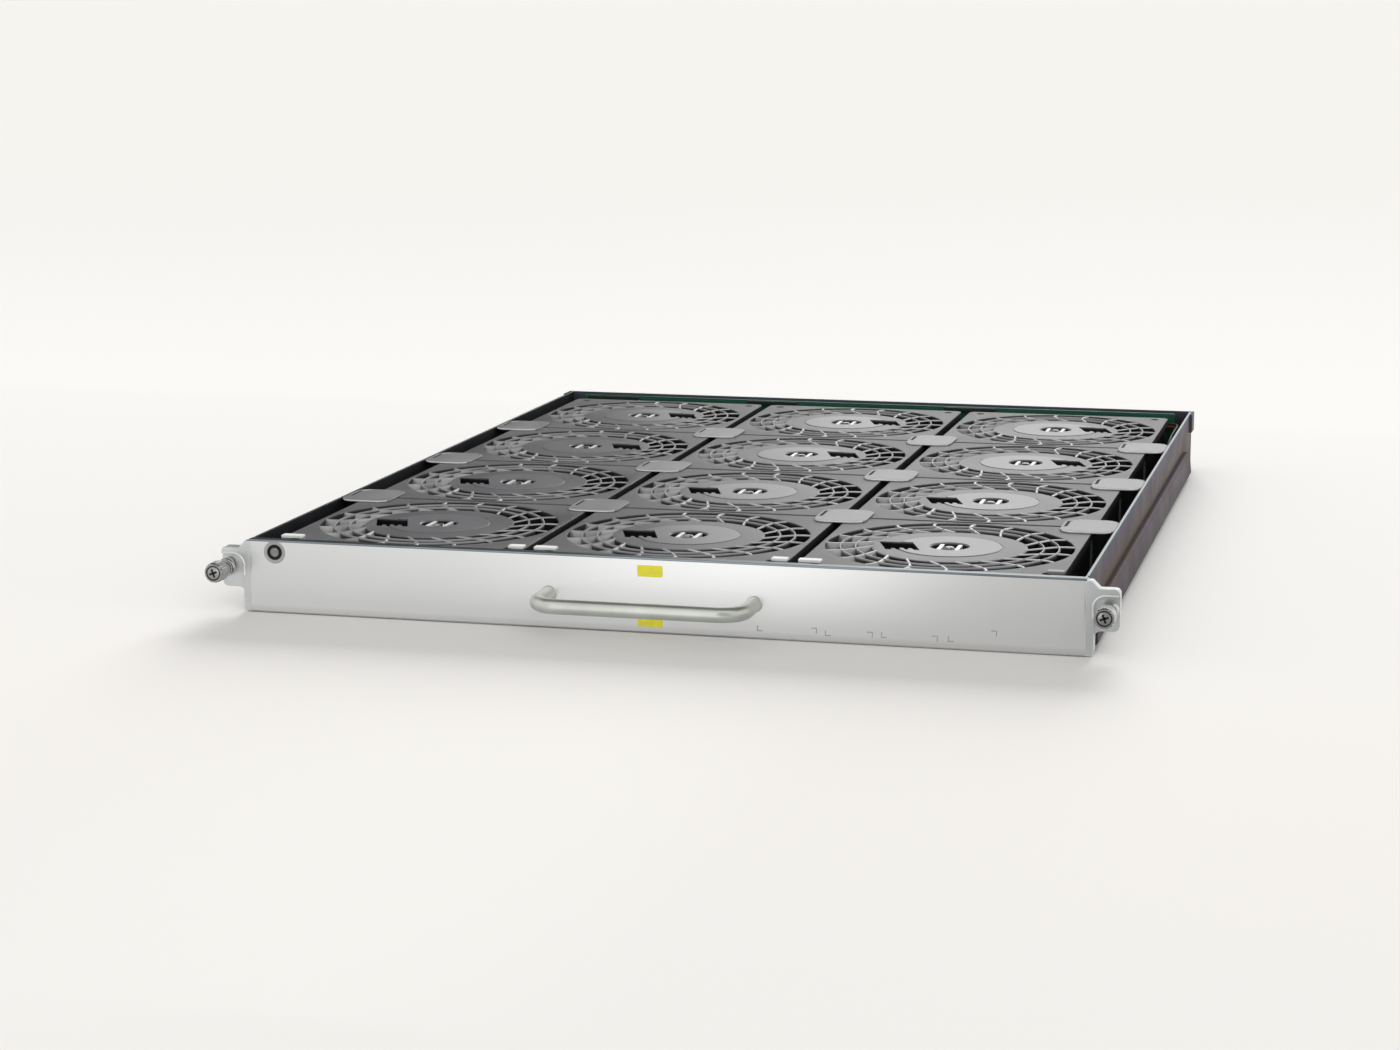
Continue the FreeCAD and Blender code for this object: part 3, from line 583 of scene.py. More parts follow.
def mottled(name, dark, light, rough, metallic=0.0, specular=0.5, coat=0.0, coat_rough=0.03,
            patch=40, grain=900, grain_depth=0.03 * MM, stretch=(1, 1, 1), painted_shade=()):
    # Colour and gloss that vary in soft patches, with a fine grain on the surface.
    material, tree, shader = new_material(name, metallic, specular, coat, coat_rough)
    vector = place_node(tree, stretch)
    patches = noise(tree, vector, patch, detail=5.0)
    colour = ramp(tree, patches, list(zip(NOISE_RANGE, (dark, light))))
    # Optional painted shade by height.
    if painted_shade:
        colour = apply_painted_shade(tree, colour, painted_shade)
    join(tree, colour, shader.inputs["Base Color"])
    join(tree, scaled(tree, patches, *NOISE_RANGE, *rough), shader.inputs["Roughness"])
    bump(tree, shader, noise(tree, vector, grain, detail=2.0), 0.35, grain_depth)
    return material


def apply_painted_shade(tree, colour, painted_shade):
    # Painted shade: darker towards the bottom of a deep moulding or at a panel's foot, where less light
    # falls; pairs of height in metres and brightness.
    low = painted_shade[0][0]
    high = painted_shade[-1][0]
    height = scaled(tree, axis_of(tree, place_node(tree), "Z"), low, high)
    levels = grey_ramp(tree, height, [((z - low) / (high - low), level) for z, level in painted_shade])
    mix = colour_mix(tree, colour, levels, "MULTIPLY")
    mix.inputs[MIX_SHARE].default_value = 1.0
    return mix.outputs[MIX_RESULT]


# Rainbow passivation from the foot of a sheet to its top
ZINC_SPAN = (0.006, 0.041)
ZINC_WAVE = 0.012
ZINC_TONES = ((0.0, (0.16, 0.155, 0.15)), (0.28, (0.17, 0.15, 0.165)), (0.44, (0.20, 0.155, 0.20)),
              (0.56, (0.25, 0.215, 0.145)), (0.70, (0.235, 0.19, 0.175)), (0.84, (0.215, 0.18, 0.245)),
              (0.96, (0.20, 0.25, 0.31)))


def zinc_material(name, level):
    # Zinc whose colour drifts with the height: violet grey, violet, straw, violet and blue grey.
    material, tree, shader = new_material(name, 0.7, 0.3)
    fill(shader, Specular_Tint=(0.45, 0.42, 0.45, 1))
    vector = place_node(tree)
    cloud = noise(tree, vector, 26.0, detail=4.0, distortion=0.6)
    wave = add_node(tree, "Math")
    wave.operation = "MULTIPLY_ADD"
    wave.inputs[1].default_value = ZINC_WAVE
    join(tree, cloud, wave.inputs[0])
    join(tree, axis_of(tree, vector, "Z"), wave.inputs[2])
    height = scaled(tree, wave.outputs["Value"], *ZINC_SPAN)
    stops = [(position, tuple(level * part for part in colour)) for position, colour in ZINC_TONES]
    join(tree, ramp(tree, height, stops), shader.inputs["Base Color"])
    join(tree, scaled(tree, cloud, *NOISE_RANGE, 0.34, 0.48), shader.inputs["Roughness"])
    grains = noise(tree, place_node(tree, (1, 0.08, 1)), 1400.0, detail=2.0)
    bump(tree, shader, grains, 0.25, 0.02 * MM)
    return material


def board_material():
    # Green solder mask with faint copper tracks under it.
    material, tree, shader = new_material("board_green", coat=0.2)
    vector = place_node(tree, (1, 1, 6))
    tracks = add_node(tree, "TexBrick", Scale=180.0, Mortar_Size=0.03,
                      Color1=(0.005, 0.060, 0.034, 1), Color2=(0.007, 0.076, 0.044, 1),
                      Mortar=(0.010, 0.105, 0.060, 1))
    join(tree, vector, tracks.inputs["Vector"])
    join(tree, tracks.outputs["Color"], shader.inputs["Base Color"])
    patches = noise(tree, vector, 60.0)
    join(tree, scaled(tree, patches, *NOISE_RANGE, 0.3, 0.5), shader.inputs["Roughness"])
    bump(tree, shader, tracks.outputs["Fac"], 0.2, 0.03 * MM)
    return material


# Broad surfaces keep a roughness of 0.28 or more, because the denoiser leaves specks on glossier ones.
# Painted shade: the panel darkens over its lowest four millimetres, to half at the foot.
PANEL_SHADE = ((0.0, 0.50), (0.0007, 0.66), (0.0011, 0.86), (0.0026, 0.90), (0.0040, 1.0))
PANEL = mottled("panel_metal", (0.80, 0.80, 0.79), (0.91, 0.91, 0.90), (0.28, 0.33), metallic=0.8,
                patch=9, grain=1300, grain_depth=0.012 * MM, stretch=(0.25, 1, 1), painted_shade=PANEL_SHADE)
EAR_STEEL = mottled("ear_steel", (0.62, 0.64, 0.635), (0.76, 0.78, 0.775), (0.28, 0.38), metallic=0.7)
# Lighter steel for painted highlights along edges.
EDGE_HIGHLIGHT_STEEL = mottled("edge_highlight_steel", (0.80, 0.81, 0.80), (0.92, 0.92, 0.91), (0.28, 0.34), metallic=0.5,
                     patch=60)
NICKEL = mottled("handle_nickel", (0.55, 0.57, 0.52), (0.68, 0.70, 0.645), (0.28, 0.33), metallic=0.8,
                 patch=60, grain=1500, grain_depth=0.02 * MM)
STEEL = mottled("bright_steel", (0.58, 0.58, 0.57), (0.74, 0.74, 0.73), (0.16, 0.28), metallic=1.0,
                patch=120)
# Near-white for the bars that stand for glints in the fan bores: painted highlight.
GLINT_BAR_WHITE = mottled("glint_bar_white", (0.84, 0.84, 0.83), (0.94, 0.94, 0.93), (0.2, 0.3), metallic=0.2,
                     patch=200)
KNURL = mottled("knurled_steel", (0.34, 0.34, 0.335), (0.50, 0.50, 0.49), (0.20, 0.32), metallic=0.9,
                patch=160)
SHADOW_STEEL = mottled("shadow_steel", (0.03, 0.03, 0.03), (0.07, 0.07, 0.07), (0.3, 0.4), metallic=0.8,
                       patch=160)
BLACK = mottled("black_plastic", (0.008, 0.008, 0.009), (0.018, 0.018, 0.019), (0.5, 0.65),
                specular=0.15, patch=90)
BOARD_BLACK = mottled("board_black", (0.008, 0.016, 0.012), (0.016, 0.03, 0.022), (0.4, 0.55),
                      specular=0.2, patch=90)
LENS = mottled("lens_plastic", (0.16, 0.18, 0.17), (0.27, 0.29, 0.28), (0.12, 0.2), coat=0.6, patch=300)
# Painted shade in the fans: each moulding darkens below its top; pairs of height in metres and brightness.
FRAME_SHADE = ((0.002, 0.10), (0.029, 0.12), (0.0332, 0.25), (0.0339, 1.0))
VANE_SHADE = ((0.022, 0.08), (0.027, 0.26), (0.031, 0.58), (0.0331, 0.90), (0.0334, 1.0))
RING_SHADE = ((0.0315, 0.08), (0.0330, 0.20), (0.0335, 1.0))
HUB_SHADE = ((0.022, 0.03), (0.0329, 0.06), (0.0336, 1.0))
FAN_GREY = mottled("fan_grey", (0.105, 0.104, 0.108), (0.155, 0.154, 0.158), (0.32, 0.46), specular=0.24,
                   patch=24, grain=1600, grain_depth=0.04 * MM, painted_shade=FRAME_SHADE)
# Lit and shaded copies of the vane plastic: the lighter one for faces that look up, the near-black one for
# faces that look down.
VANE_LIT_GREY = mottled("vane_lit_grey", (0.27, 0.27, 0.273), (0.46, 0.46, 0.463), (0.12, 0.22), specular=1.0,
                    coat=0.3, patch=90, grain=1600, grain_depth=0.04 * MM, painted_shade=VANE_SHADE)
VANE_UNDERSIDE_SHADE = mottled("vane_underside_shade", (0.012, 0.012, 0.013), (0.028, 0.028, 0.03), (0.3, 0.45), specular=0.2,
                    patch=90)
HUB_GREY = mottled("hub_grey", (0.155, 0.155, 0.166), (0.19, 0.19, 0.20), (0.28, 0.34), coat=0.3,
                   coat_rough=0.28, patch=30, grain=1800, grain_depth=0.0015 * MM, painted_shade=HUB_SHADE)
HUB_RIM = mottled("hub_rim_grey", (0.125, 0.125, 0.132), (0.165, 0.165, 0.172), (0.28, 0.38),
                  specular=0.26, patch=30, grain=1800, grain_depth=0.02 * MM, painted_shade=HUB_SHADE)
RING_GREY = mottled("ring_grey", (0.26, 0.26, 0.265), (0.36, 0.36, 0.365), (0.28, 0.36), specular=0.4,
                    patch=60, painted_shade=RING_SHADE)
IMPELLER = mottled("impeller_grey", (0.03, 0.03, 0.032), (0.05, 0.05, 0.052), (0.14, 0.24), specular=0.4,
                   patch=30)
# Near-black bearings: painted shade in the fan bores.
BEARING_SHADE = mottled("bearing_painted_shade", (0.012, 0.012, 0.012), (0.03, 0.03, 0.03), (0.4, 0.5), specular=0.2,
                  patch=300)
PLATE_GREY = mottled("plate_grey", (0.24, 0.24, 0.245), (0.31, 0.31, 0.315), (0.30, 0.40), metallic=0.2,
                     specular=0.35, patch=60)
LIP_STEEL = mottled("lip_steel", (0.24, 0.28, 0.30), (0.33, 0.37, 0.39), (0.28, 0.33), metallic=1.0)
PAD_WHITE = mottled("pad_white", (0.80, 0.82, 0.81), (0.90, 0.91, 0.90), (0.35, 0.5), patch=150)
YELLOW = mottled("sticker_yellow", (0.80, 0.72, 0.02), (0.90, 0.84, 0.04), (0.4, 0.55), patch=260)
MARK_GREY = mottled("mark_grey", (0.30, 0.30, 0.29), (0.40, 0.40, 0.39), (0.5, 0.6), patch=200)
LEAD_RED = mottled("lead_red", (0.22, 0.03, 0.015), (0.34, 0.06, 0.03), (0.35, 0.5), patch=200)
LEAD_BLACK = mottled("lead_black", (0.012, 0.012, 0.012), (0.03, 0.03, 0.03), (0.4, 0.55), patch=200)
COPPER = mottled("contact_copper", (0.62, 0.40, 0.20), (0.78, 0.55, 0.30), (0.2, 0.32), metallic=1.0,
                 patch=300)
ZINC = zinc_material("zinc_sheet", 0.48)
RAIL_ZINC = zinc_material("zinc_rail", 0.56)
# Near-black copy of the zinc for the walls' inner faces: painted shade.
INNER_WALL_SHADE = mottled("inner_wall_shade", (0.010, 0.011, 0.013), (0.022, 0.023, 0.026), (0.5, 0.65), specular=0.15)
BOARD = board_material()


# Fans

def fan_frame_mesh():
    # Flanges at top and bottom with a slightly narrower waist between them, all round the duct.
    duct = circle(DUCT_RADIUS, DUCT_SIDES)
    narrow = FAN_HALF - WAIST_INSET
    waist = centred_box(0, 0, narrow, narrow, FRAME_CORNER)
    places = (-SCREW_HOLE_PLACE, SCREW_HOLE_PLACE)
    loops = [centred_box(0, 0, FAN_HALF, FAN_HALF, FRAME_CORNER), duct]
    loops += [circle(SCREW_HOLE_RADIUS, 24, x, y) for x in places for y in places]
    return gathered("fan_frame", [
        plate("flange", loops, FAN_TOP - FLANGE, FAN_TOP, FRAME_EDGE),
        plate("waist", [waist, duct], FAN_BOTTOM + FLANGE, FAN_TOP - FLANGE),
        plate("flange", loops, FAN_BOTTOM, FAN_BOTTOM + FLANGE, FRAME_EDGE),
    ])


def fan_vanes_mesh():
    # Vanes with rounded tops that sweep on from the hub, hook back at the duct and lean towards the rotor.
    sections = []
    angle = 0.0
    step = (DUCT_RADIUS + VANE_SHEET - HUB_RADIUS) / VANE_STEPS
    for i in range(VANE_STEPS + 1):
        radius = HUB_RADIUS - VANE_SHEET / 2 + step * i
        section = []
        for side, height in VANE_PROFILE:
            lean = VANE_LEAN * (1 - height) ** VANE_LEAN_CURVE
            turn = angle + (side * VANE_SHEET / 2 + lean) / radius
            section.append((radius, turn, STATOR_BOTTOM + STATOR_HEIGHT * height))
        sections.append(section)
        halves = 2 * i / VANE_STEPS
        sweep = between(VANE_INNER_SWEEP, halves) if halves < 1 else between(VANE_OUTER_SWEEP, halves - 1)
        angle += tan(sweep) * step / radius
    vanes = wheel("fan_vanes", VANES, sections)
    # Faces that look down get the near-black copy: painted shade under the vanes, beside the lighter faces
    # that look up.
    return tone_faces(vanes, VANE_LIT_GREY, (VANE_UNDERSIDE_SHADE, lambda face: face.normal.z < 0.2))


def ring_mesh():
    # Pair of guard rings with rounded tops.
    half = RING_WIDTH / 2
    rings = []
    for radius in RING_RADII:
        rings.append(lathe("ring", [
            (radius - half, FAN_TOP - RING_HEIGHT), (radius + half, FAN_TOP - RING_HEIGHT),
            (radius + half, FAN_TOP - RING_CROWN), (radius + half * 0.45, FAN_TOP),
            (radius - half * 0.45, FAN_TOP), (radius - half, FAN_TOP - RING_CROWN),
        ], DUCT_SIDES, closed=True))
    return gathered("guard_ring_pair", rings)


def slanted(points):
    # Leans an outline in the socket's window as the window leans.
    return [(x - SOCKET_SLANT * (y - SOCKET_PLACE[1]), y) for x, y in points]


def socket_outline(teeth_side):
    # Window of the lead socket, with contact teeth along one long edge.
    (x, y), (width, depth) = SOCKET_PLACE, SOCKET_SIZE
    x0, x1, y0, y1 = x - width / 2, x + width / 2, y - depth / 2, y + depth / 2
    points = [(x0, y1), (x0, y0)]
    for i in range(SOCKET_TEETH):
        tooth = x0 + (x1 - x0) * (i + 1) / (SOCKET_TEETH + 1)
        points += [
            (tooth - TOOTH_WIDTH / 2, y0), (tooth - TOOTH_WIDTH / 3, y0 + TOOTH_REACH),
            (tooth + TOOTH_WIDTH / 3, y0 + TOOTH_REACH), (tooth + TOOTH_WIDTH / 2, y0),
        ]
    points += [(x1, y0), (x1, y1)]
    if teeth_side > 0:
        points = [(px, 2 * y - py) for px, py in points]
    return slanted(points)


def hub_mesh(teeth_side):
    # Stator hub: stepped disc with a fine groove, a bearing hole and the window of the lead socket.
    groove = HUB_DISC_RADIUS + HUB_GROOVE
    disc = lathe("hub_disc", [
        (HUB_HOLE_RADIUS, STATOR_BOTTOM), (HUB_RADIUS, STATOR_BOTTOM), (HUB_RADIUS, FAN_TOP - 1 * MM),
        (HUB_RADIUS - 0.3 * MM, FAN_TOP - 0.45 * MM), (HUB_RADIUS - 1 * MM, FAN_TOP - 0.25 * MM),
        (groove, FAN_TOP - 0.25 * MM), (groove, FAN_TOP - 0.4 * MM), (HUB_DISC_RADIUS, FAN_TOP - 0.4 * MM),
        (HUB_DISC_RADIUS, FAN_TOP - 0.2 * MM), (HUB_DISC_RADIUS - 0.3 * MM, FAN_TOP),
        (HUB_HOLE_RADIUS + 0.6 * MM, FAN_TOP), (HUB_HOLE_RADIUS, FAN_TOP - 0.6 * MM),
    ], DUCT_SIDES, closed=True)
    window = plate("window", [socket_outline(teeth_side)], FAN_TOP - SOCKET_DEPTH, FAN_TOP + SOCKET_DEPTH)
    return tone_faces(cut(disc, window), HUB_GREY,
                      (HUB_RIM, lambda face: hypot(face.center.x, face.center.y) > HUB_DISC_RADIUS))


def socket_floor_mesh():
    # Black insert at the bottom of the window with its row of contacts.
    x, y = SOCKET_PLACE
    half_x, half_y = SOCKET_SIZE[0] / 2, SOCKET_SIZE[1] / 2
    low = FAN_TOP - SOCKET_DEPTH
    outline = slanted(centred_box(x, y, half_x, half_y, 0.5 * MM))
    parts = [plate("floor", [outline], low, low + 1.2 * MM)]
    for i in range(SOCKET_TEETH + 1):
        fin_x = x - half_x + SOCKET_SIZE[0] * (i + 0.5) / (SOCKET_TEETH + 1)
        fin = slanted(centred_box(fin_x, y, 0.8 * MM, half_y * 0.6, 0.3 * MM))
        parts.append(plate("fin", [fin], low + 1 * MM, low + 4.5 * MM, 0.2 * MM))
    return gathered("socket_floor", parts)


def bearing_mesh():
    # Pressed bearing with an inner and an outer race round the shaft.
    low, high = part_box("shaft_bearings")
    top = high.z
    rim = HUB_HOLE_RADIUS
    bore = SHAFT_RADIUS + 0.06 * MM
    return lathe("bearing", [
        (bore, low.z), (rim, low.z), (rim, top), (rim - 1.6 * MM, top), (rim - 1.9 * MM, top - 0.5 * MM),
        (rim - 3.6 * MM, top - 0.5 * MM), (rim - 3.9 * MM, top), (bore + 0.3 * MM, top),
        (bore, top - 0.3 * MM),
    ], 48, closed=True)


def bore_glint_mesh():
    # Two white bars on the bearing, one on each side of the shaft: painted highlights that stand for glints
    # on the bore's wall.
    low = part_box("shaft_bearings")[1].z
    glint_bars = []
    for x in (-GLINT_BAR_PLACE, GLINT_BAR_PLACE):
        glint_bar = centred_box(x, 0, GLINT_BAR_WIDTH / 2, GLINT_BAR_REACH, GLINT_BAR_WIDTH * 0.4, 4)
        glint_bars.append(plate("glint_bar", [glint_bar], low, FAN_TOP - GLINT_BAR_DROP, 0.15 * MM))
    return gathered("bore_glint_bars", glint_bars)


def impeller_mesh():
    # Rotor cup with twisted, cambered blades.
    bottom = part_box("fan_impeller_01")[0].z
    top = STATOR_BOTTOM - 0.6 * MM
    cup = lathe("rotor_cup", [
        (0, bottom), (ROTOR_RADIUS - 4 * MM, bottom), (ROTOR_RADIUS - 1.2 * MM, bottom + 0.8 * MM),
        (ROTOR_RADIUS, bottom + 3 * MM), (ROTOR_RADIUS, top - 1 * MM), (ROTOR_RADIUS - 1 * MM, top), (0, top),
    ], 72)
    middle = (bottom + top) / 2
    sections = []
    for i in range(BLADE_STEPS + 1):
        share = i / BLADE_STEPS
        radius = between(BLADE_RADII, share)
        chord = between(BLADE_CHORDS, share) / 2
        pitch = between(BLADE_PITCHES, share)
        section = []
        for along, across in BLADE_OUTLINE:
            lift = across * between(BLADE_SHEETS, share) + BLADE_CAMBER * (0.4 - along * along)
            sideways = along * chord * cos(pitch) - lift * sin(pitch)
            z = middle + along * chord * sin(pitch) + lift * cos(pitch)
            section.append((radius, sideways / radius, z))
        sections.append(section)
    return gathered("impeller", [cup, wheel("blades", BLADES, sections)])


def shaft_mesh():
    low = STATOR_BOTTOM - 1 * MM
    top = FAN_TOP - 0.3 * MM
    return lathe("shaft", [(0, low), (SHAFT_RADIUS, low), (SHAFT_RADIUS, top - 0.7 * MM),
                           (SHAFT_RADIUS - 0.6 * MM, top), (0, top)], 32)


def make_fans():
    # The front two rows face one way and the rear two the other.
    frame_mesh, vanes, rings = fan_frame_mesh(), fan_vanes_mesh(), ring_mesh()
    front_hub, rear_hub = hub_mesh(-1), hub_mesh(1)
    floor, bearing, clip_or_glint_bars = socket_floor_mesh(), bearing_mesh(), bore_glint_mesh()
    impeller, shaft = impeller_mesh(), shaft_mesh()
    ring_parts, bearing_parts, glint_bar_parts = [], [], []
    for number, middle in enumerate(FAN_CENTRES, 1):
        front = number <= FAN_COUNT / 2
        place = move(middle.x, middle.y) @ turned(0 if front else pi, "Z")
        label = "fan_%02d_" % number
        rotor = "fan_rotor_%02d" % number
        piece(label + "frame", frame_mesh, "fan_grey", FAN_GREY, "fan_housing_%02d" % number, place=place)
        piece(label + "vanes", vanes, "fan_grey", VANE_LIT_GREY, "fan_stators", place=place)
        hub = front_hub if front else rear_hub
        piece(label + "hub", hub, "fan_grey", HUB_GREY, "fan_stators", place=place)
        piece(label + "socket", floor, "black_plastic", BLACK, place=place)
        piece(label + "impeller", impeller, "impeller_grey", IMPELLER, "fan_impeller_%02d" % number,
              body=rotor, place=place)
        piece(label + "shaft", shaft, "bright_steel", KNURL, body=rotor, place=place)
        ring_parts.append(moved(rings, place))
        bearing_parts.append(moved(bearing, place))
        glint_bar_parts.append(moved(clip_or_glint_bars, move(middle.x, middle.y)))
    group("fan_guard_rings", ring_parts, "fan_grey", RING_GREY, "guard_rings")
    # Bearings in near-black, as painted shade in the bores.
    group("fan_bearings", bearing_parts, "bright_steel", BEARING_SHADE, "shaft_bearings")
    # White bars standing for glints in the bores: painted highlights.
    group("fan_bore_glint_bars", glint_bar_parts, "bright_steel", GLINT_BAR_WHITE)


# Sheet metal

def make_base():
    # Base sheet with a round inlet under each fan, its edges softened.
    low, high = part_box("base_pan")
    loops = [rounded_box(low.x, high.x, low.y, high.y, 0.5 * MM)]
    loops += [circle(INLET_RADIUS, DUCT_SIDES, middle.x, middle.y) for middle in FAN_CENTRES]
    piece("base_sheet", plate("base_sheet", loops, low.z, high.z, 0.4 * MM), "zinc_sheet", ZINC, "base_pan")


def make_walls():
    # Side walls with softened edges; their inner faces get a near-black copy of the zinc as painted shade,
    # and their tops the lighter lip steel as a painted highlight.
    for side, inward in (("left", 1), ("right", -1)):
        name = side + "_wall_sheet"
        node = side + "_side_wall"
        low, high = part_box(node)
        outline = rounded_box(low.x, high.x, low.y, high.y, WALL_EDGE, 2)
        wall = plate(name, [outline], low.z, high.z, WALL_EDGE * 0.8)
        # Inner faces in near-black as painted shade; top faces in lip steel as a painted highlight.
        tone_faces(wall, ZINC, (INNER_WALL_SHADE, lambda face: face.normal.x * inward > 0.9),
                   (LIP_STEEL, lambda face: face.normal.z > 0.5))
        piece(name, wall, "zinc_sheet", ZINC, node)
        make_rail(side)
    paint("rear_wall", ZINC)


def make_rail(side):
    # Folded guide rail with a rounded shoulder and a tapered rear end.
    low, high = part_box(side + "_guide_rail")
    sign = 1 if side == "right" else -1
    inner = low.x if sign > 0 else -high.x
    outer = high.x if sign > 0 else -low.x
    outside = [(inner, high.z)]
    outside += arc(outer - RAIL_SHOULDER, high.z - RAIL_SHOULDER, RAIL_SHOULDER, 90, 0, 6)
    outside += [(outer, low.z + RAIL_FOOT), (outer - RAIL_FOOT, low.z), (inner, low.z)]
    inside = [(inner, low.z + RAIL_SHEET), (outer - RAIL_SHEET, low.z + RAIL_SHEET),
              (outer - RAIL_SHEET, high.z - RAIL_SHOULDER), (inner, high.z - RAIL_SHEET)]
    bm = bmesh.new()
    add_loft(bm, [[(sign * x, y, z) for x, z in outside] for y in (low.y, low.y + RAIL_SHEET)])
    ends = []
    for slope, y in ((0.0, low.y + RAIL_SHEET), (RAIL_TAPER, high.y)):
        ends.append([(sign * x, y - slope * (z - low.z) / (high.z - low.z), z) for x, z in outside + inside])
    add_loft(bm, ends)
    piece(side + "_rail", mesh_of(bm, "rail"), "zinc_sheet", RAIL_ZINC, side + "_guide_rail")


def hook_slot(x, y):
    # Slot along the rear half of a plate's left edge that follows its rear corner round.
    outer = PLATE_CORNER - SLOT_INSET
    inner = outer - SLOT_WIDTH
    corner_x = x - PLATE_HALF[0] + PLATE_CORNER
    corner_y = y + PLATE_HALF[1] - PLATE_CORNER
    points = [(corner_x - inner, y + SLOT_START), (corner_x - outer, y + SLOT_START)]
    points += arc(corner_x, corner_y, outer, 180, 102)
    return points + arc(corner_x, corner_y, inner, 180, 102)[::-1]


def make_plates():
    # Hold-down plates with round ends and a hook-shaped slot, on posts between the fans.
    low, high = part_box("hold_down_plates")
    top = high.z
    half_x, half_y = PLATE_HALF
    base_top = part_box("base_pan")[1].z
    rows = sorted({round(c.y, 5) for c in FAN_CENTRES})
    columns = sorted({round(c.x, 5) for c in FAN_CENTRES})
    pitch = columns[1] - columns[0]
    lines = [columns[0] - pitch / 2] + [c + pitch / 2 for c in columns]
    parts = []
    slot_shade_sheets = []
    for front, back in zip(rows, rows[1:]):
        y = (front + back) / 2
        for line in lines:
            x = min(max(line, low.x + half_x), high.x - half_x)
            outline = centred_box(x, y, half_x, half_y, PLATE_CORNER, 8)
            slot = hook_slot(x, y)
            parts.append(plate("plate", [outline, slot], FAN_TOP, top, 0.4 * MM))
            # A black sheet in each slot: painted shade for the dark gap there.
            slot_shade_sheets.append(plate("slot_shade_sheet", [slot], FAN_TOP + 0.05 * MM, top - 0.35 * MM))
            post = centred_box(min(max(line, -POST_REACH), POST_REACH), y, *POST_HALF, 0.3 * MM, 2)
            parts.append(plate("post", [post], base_top, FAN_TOP))
    mesh = gathered("hold_down_plates", parts)
    # Faces that look to the front above the fans get lighter steel: a painted highlight on each plate's front
    # edge.
    tone_faces(mesh, PLATE_GREY,
               (EDGE_HIGHLIGHT_STEEL, lambda face: face.normal.y < -0.5 and face.center.z > FAN_TOP))
    piece("hold_down_clips", mesh, "plate_grey", PLATE_GREY, "hold_down_plates")
    group("clip_slot_shade_sheets", slot_shade_sheets, "black_plastic", BLACK)


def make_pads():
    # White pads on the front corners of the front row; the last one is grey.
    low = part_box("corner_pads")[0]
    parts = []
    for middle in FAN_CENTRES[:3]:
        left = middle.x - FAN_HALF
        right = middle.x + FAN_HALF
        for x0, x1 in ((left, left + LEFT_PAD_WIDTH), (right - RIGHT_PAD_WIDTH, right)):
            outline = rounded_box(x0, x1, low.y, low.y + PAD_DEPTH, 0.6 * MM, 4)
            parts.append(plate("pad", [outline], low.z, low.z + PAD_HEIGHT, 0.25 * MM))
    group("white_pads", parts[:-1], "pad_white", PAD_WHITE, "corner_pads")
    group("grey_pad", parts[-1:], "pad_white", PLATE_GREY, "corner_pads")


# Front

def panel_mesh():
    # Folded face, open at the back: rounded front edges, and a shorter return along the top.
    low = Vector((-WALL_OUT, PANEL_LOW.y, PANEL_LOW.z))
    high = Vector((WALL_OUT, PANEL_HIGH.y, PANEL_HIGH.z))
    size = high - low
    bm = bmesh.new()
    bmesh.ops.create_cube(bm, size=1.0)
    for vertex in bm.verts:
        vertex.co = [start + length * (part + 0.5) for start, length, part in zip(low, size, vertex.co)]
    back = [f for f in bm.faces if f.normal.y > 0.5]
    bmesh.ops.delete(bm, geom=back, context="FACES_ONLY")
    edges = [e for e in bm.edges if len(e.link_faces) == 2]
    bmesh.ops.bevel(bm, geom=edges, offset=PANEL_ROUND, segments=5, affect="EDGES", profile=0.5)
    for vertex in bm.verts:
        if vertex.co.y > high.y - 1e-6 and vertex.co.z > high.z - 1e-6:
            vertex.co.y = low.y + PANEL_RETURN
    holder = linked("front_face_sheet", mesh_of(bm, "front_face"))
    modifier = holder.modifiers.new("sheet", "SOLIDIFY")
    modifier.thickness = PANEL_SHEET
    modifier.offset = -1.0
    return applied(holder)


def ear_outline(lobe_bottom, inner_radius, lobe_corner):
    # Corners of the right-hand ear in X and Z: a strip beside the panel and a lobe for the thumbscrew.
    tip = PANEL_HIGH.x
    edge = PANEL_HIGH.z - 1 * MM
    root = WALL_OUT - 1.5 * MM
    foot = 0.3 * MM
    points = [(root, foot)]
    points += arc(EAR_STRIP - STRIP_CORNER, foot + STRIP_CORNER, STRIP_CORNER, -90, 0)
    points += arc(EAR_STRIP + inner_radius, lobe_bottom - inner_radius, inner_radius, 180, 90)
    points += arc(tip - lobe_corner, lobe_bottom + lobe_corner, lobe_corner, -90, 0)
    points += arc(tip - EAR_CORNER, EAR_TOP - EAR_CORNER, EAR_CORNER, 0, 90)
    return points + [(EAR_STRIP + EAR_CORNER, EAR_TOP), (EAR_STRIP - EAR_CORNER / 2, edge), (root, edge)]


def pocket_bead():
    # Rolled edge round the thumbscrew's pocket, on the right-hand ear, in lighter steel as a painted
    # highlight.
    y = FRONT + EAR_STEP + BEAD_RADIUS * 0.4
    line = [(PANEL_HIGH.x - BEAD_RADIUS, POCKET_TOP + BEAD_RADIUS)]
    corner = POCKET_CORNER
    line += arc(EAR_STRIP + corner, POCKET_TOP - corner, corner + BEAD_RADIUS, 90, 180, 12)
    line.append((EAR_STRIP - BEAD_RADIUS, BEAD_END))
    return tube("bead", [(x, y, z) for x, z in line], BEAD_RADIUS, 3)


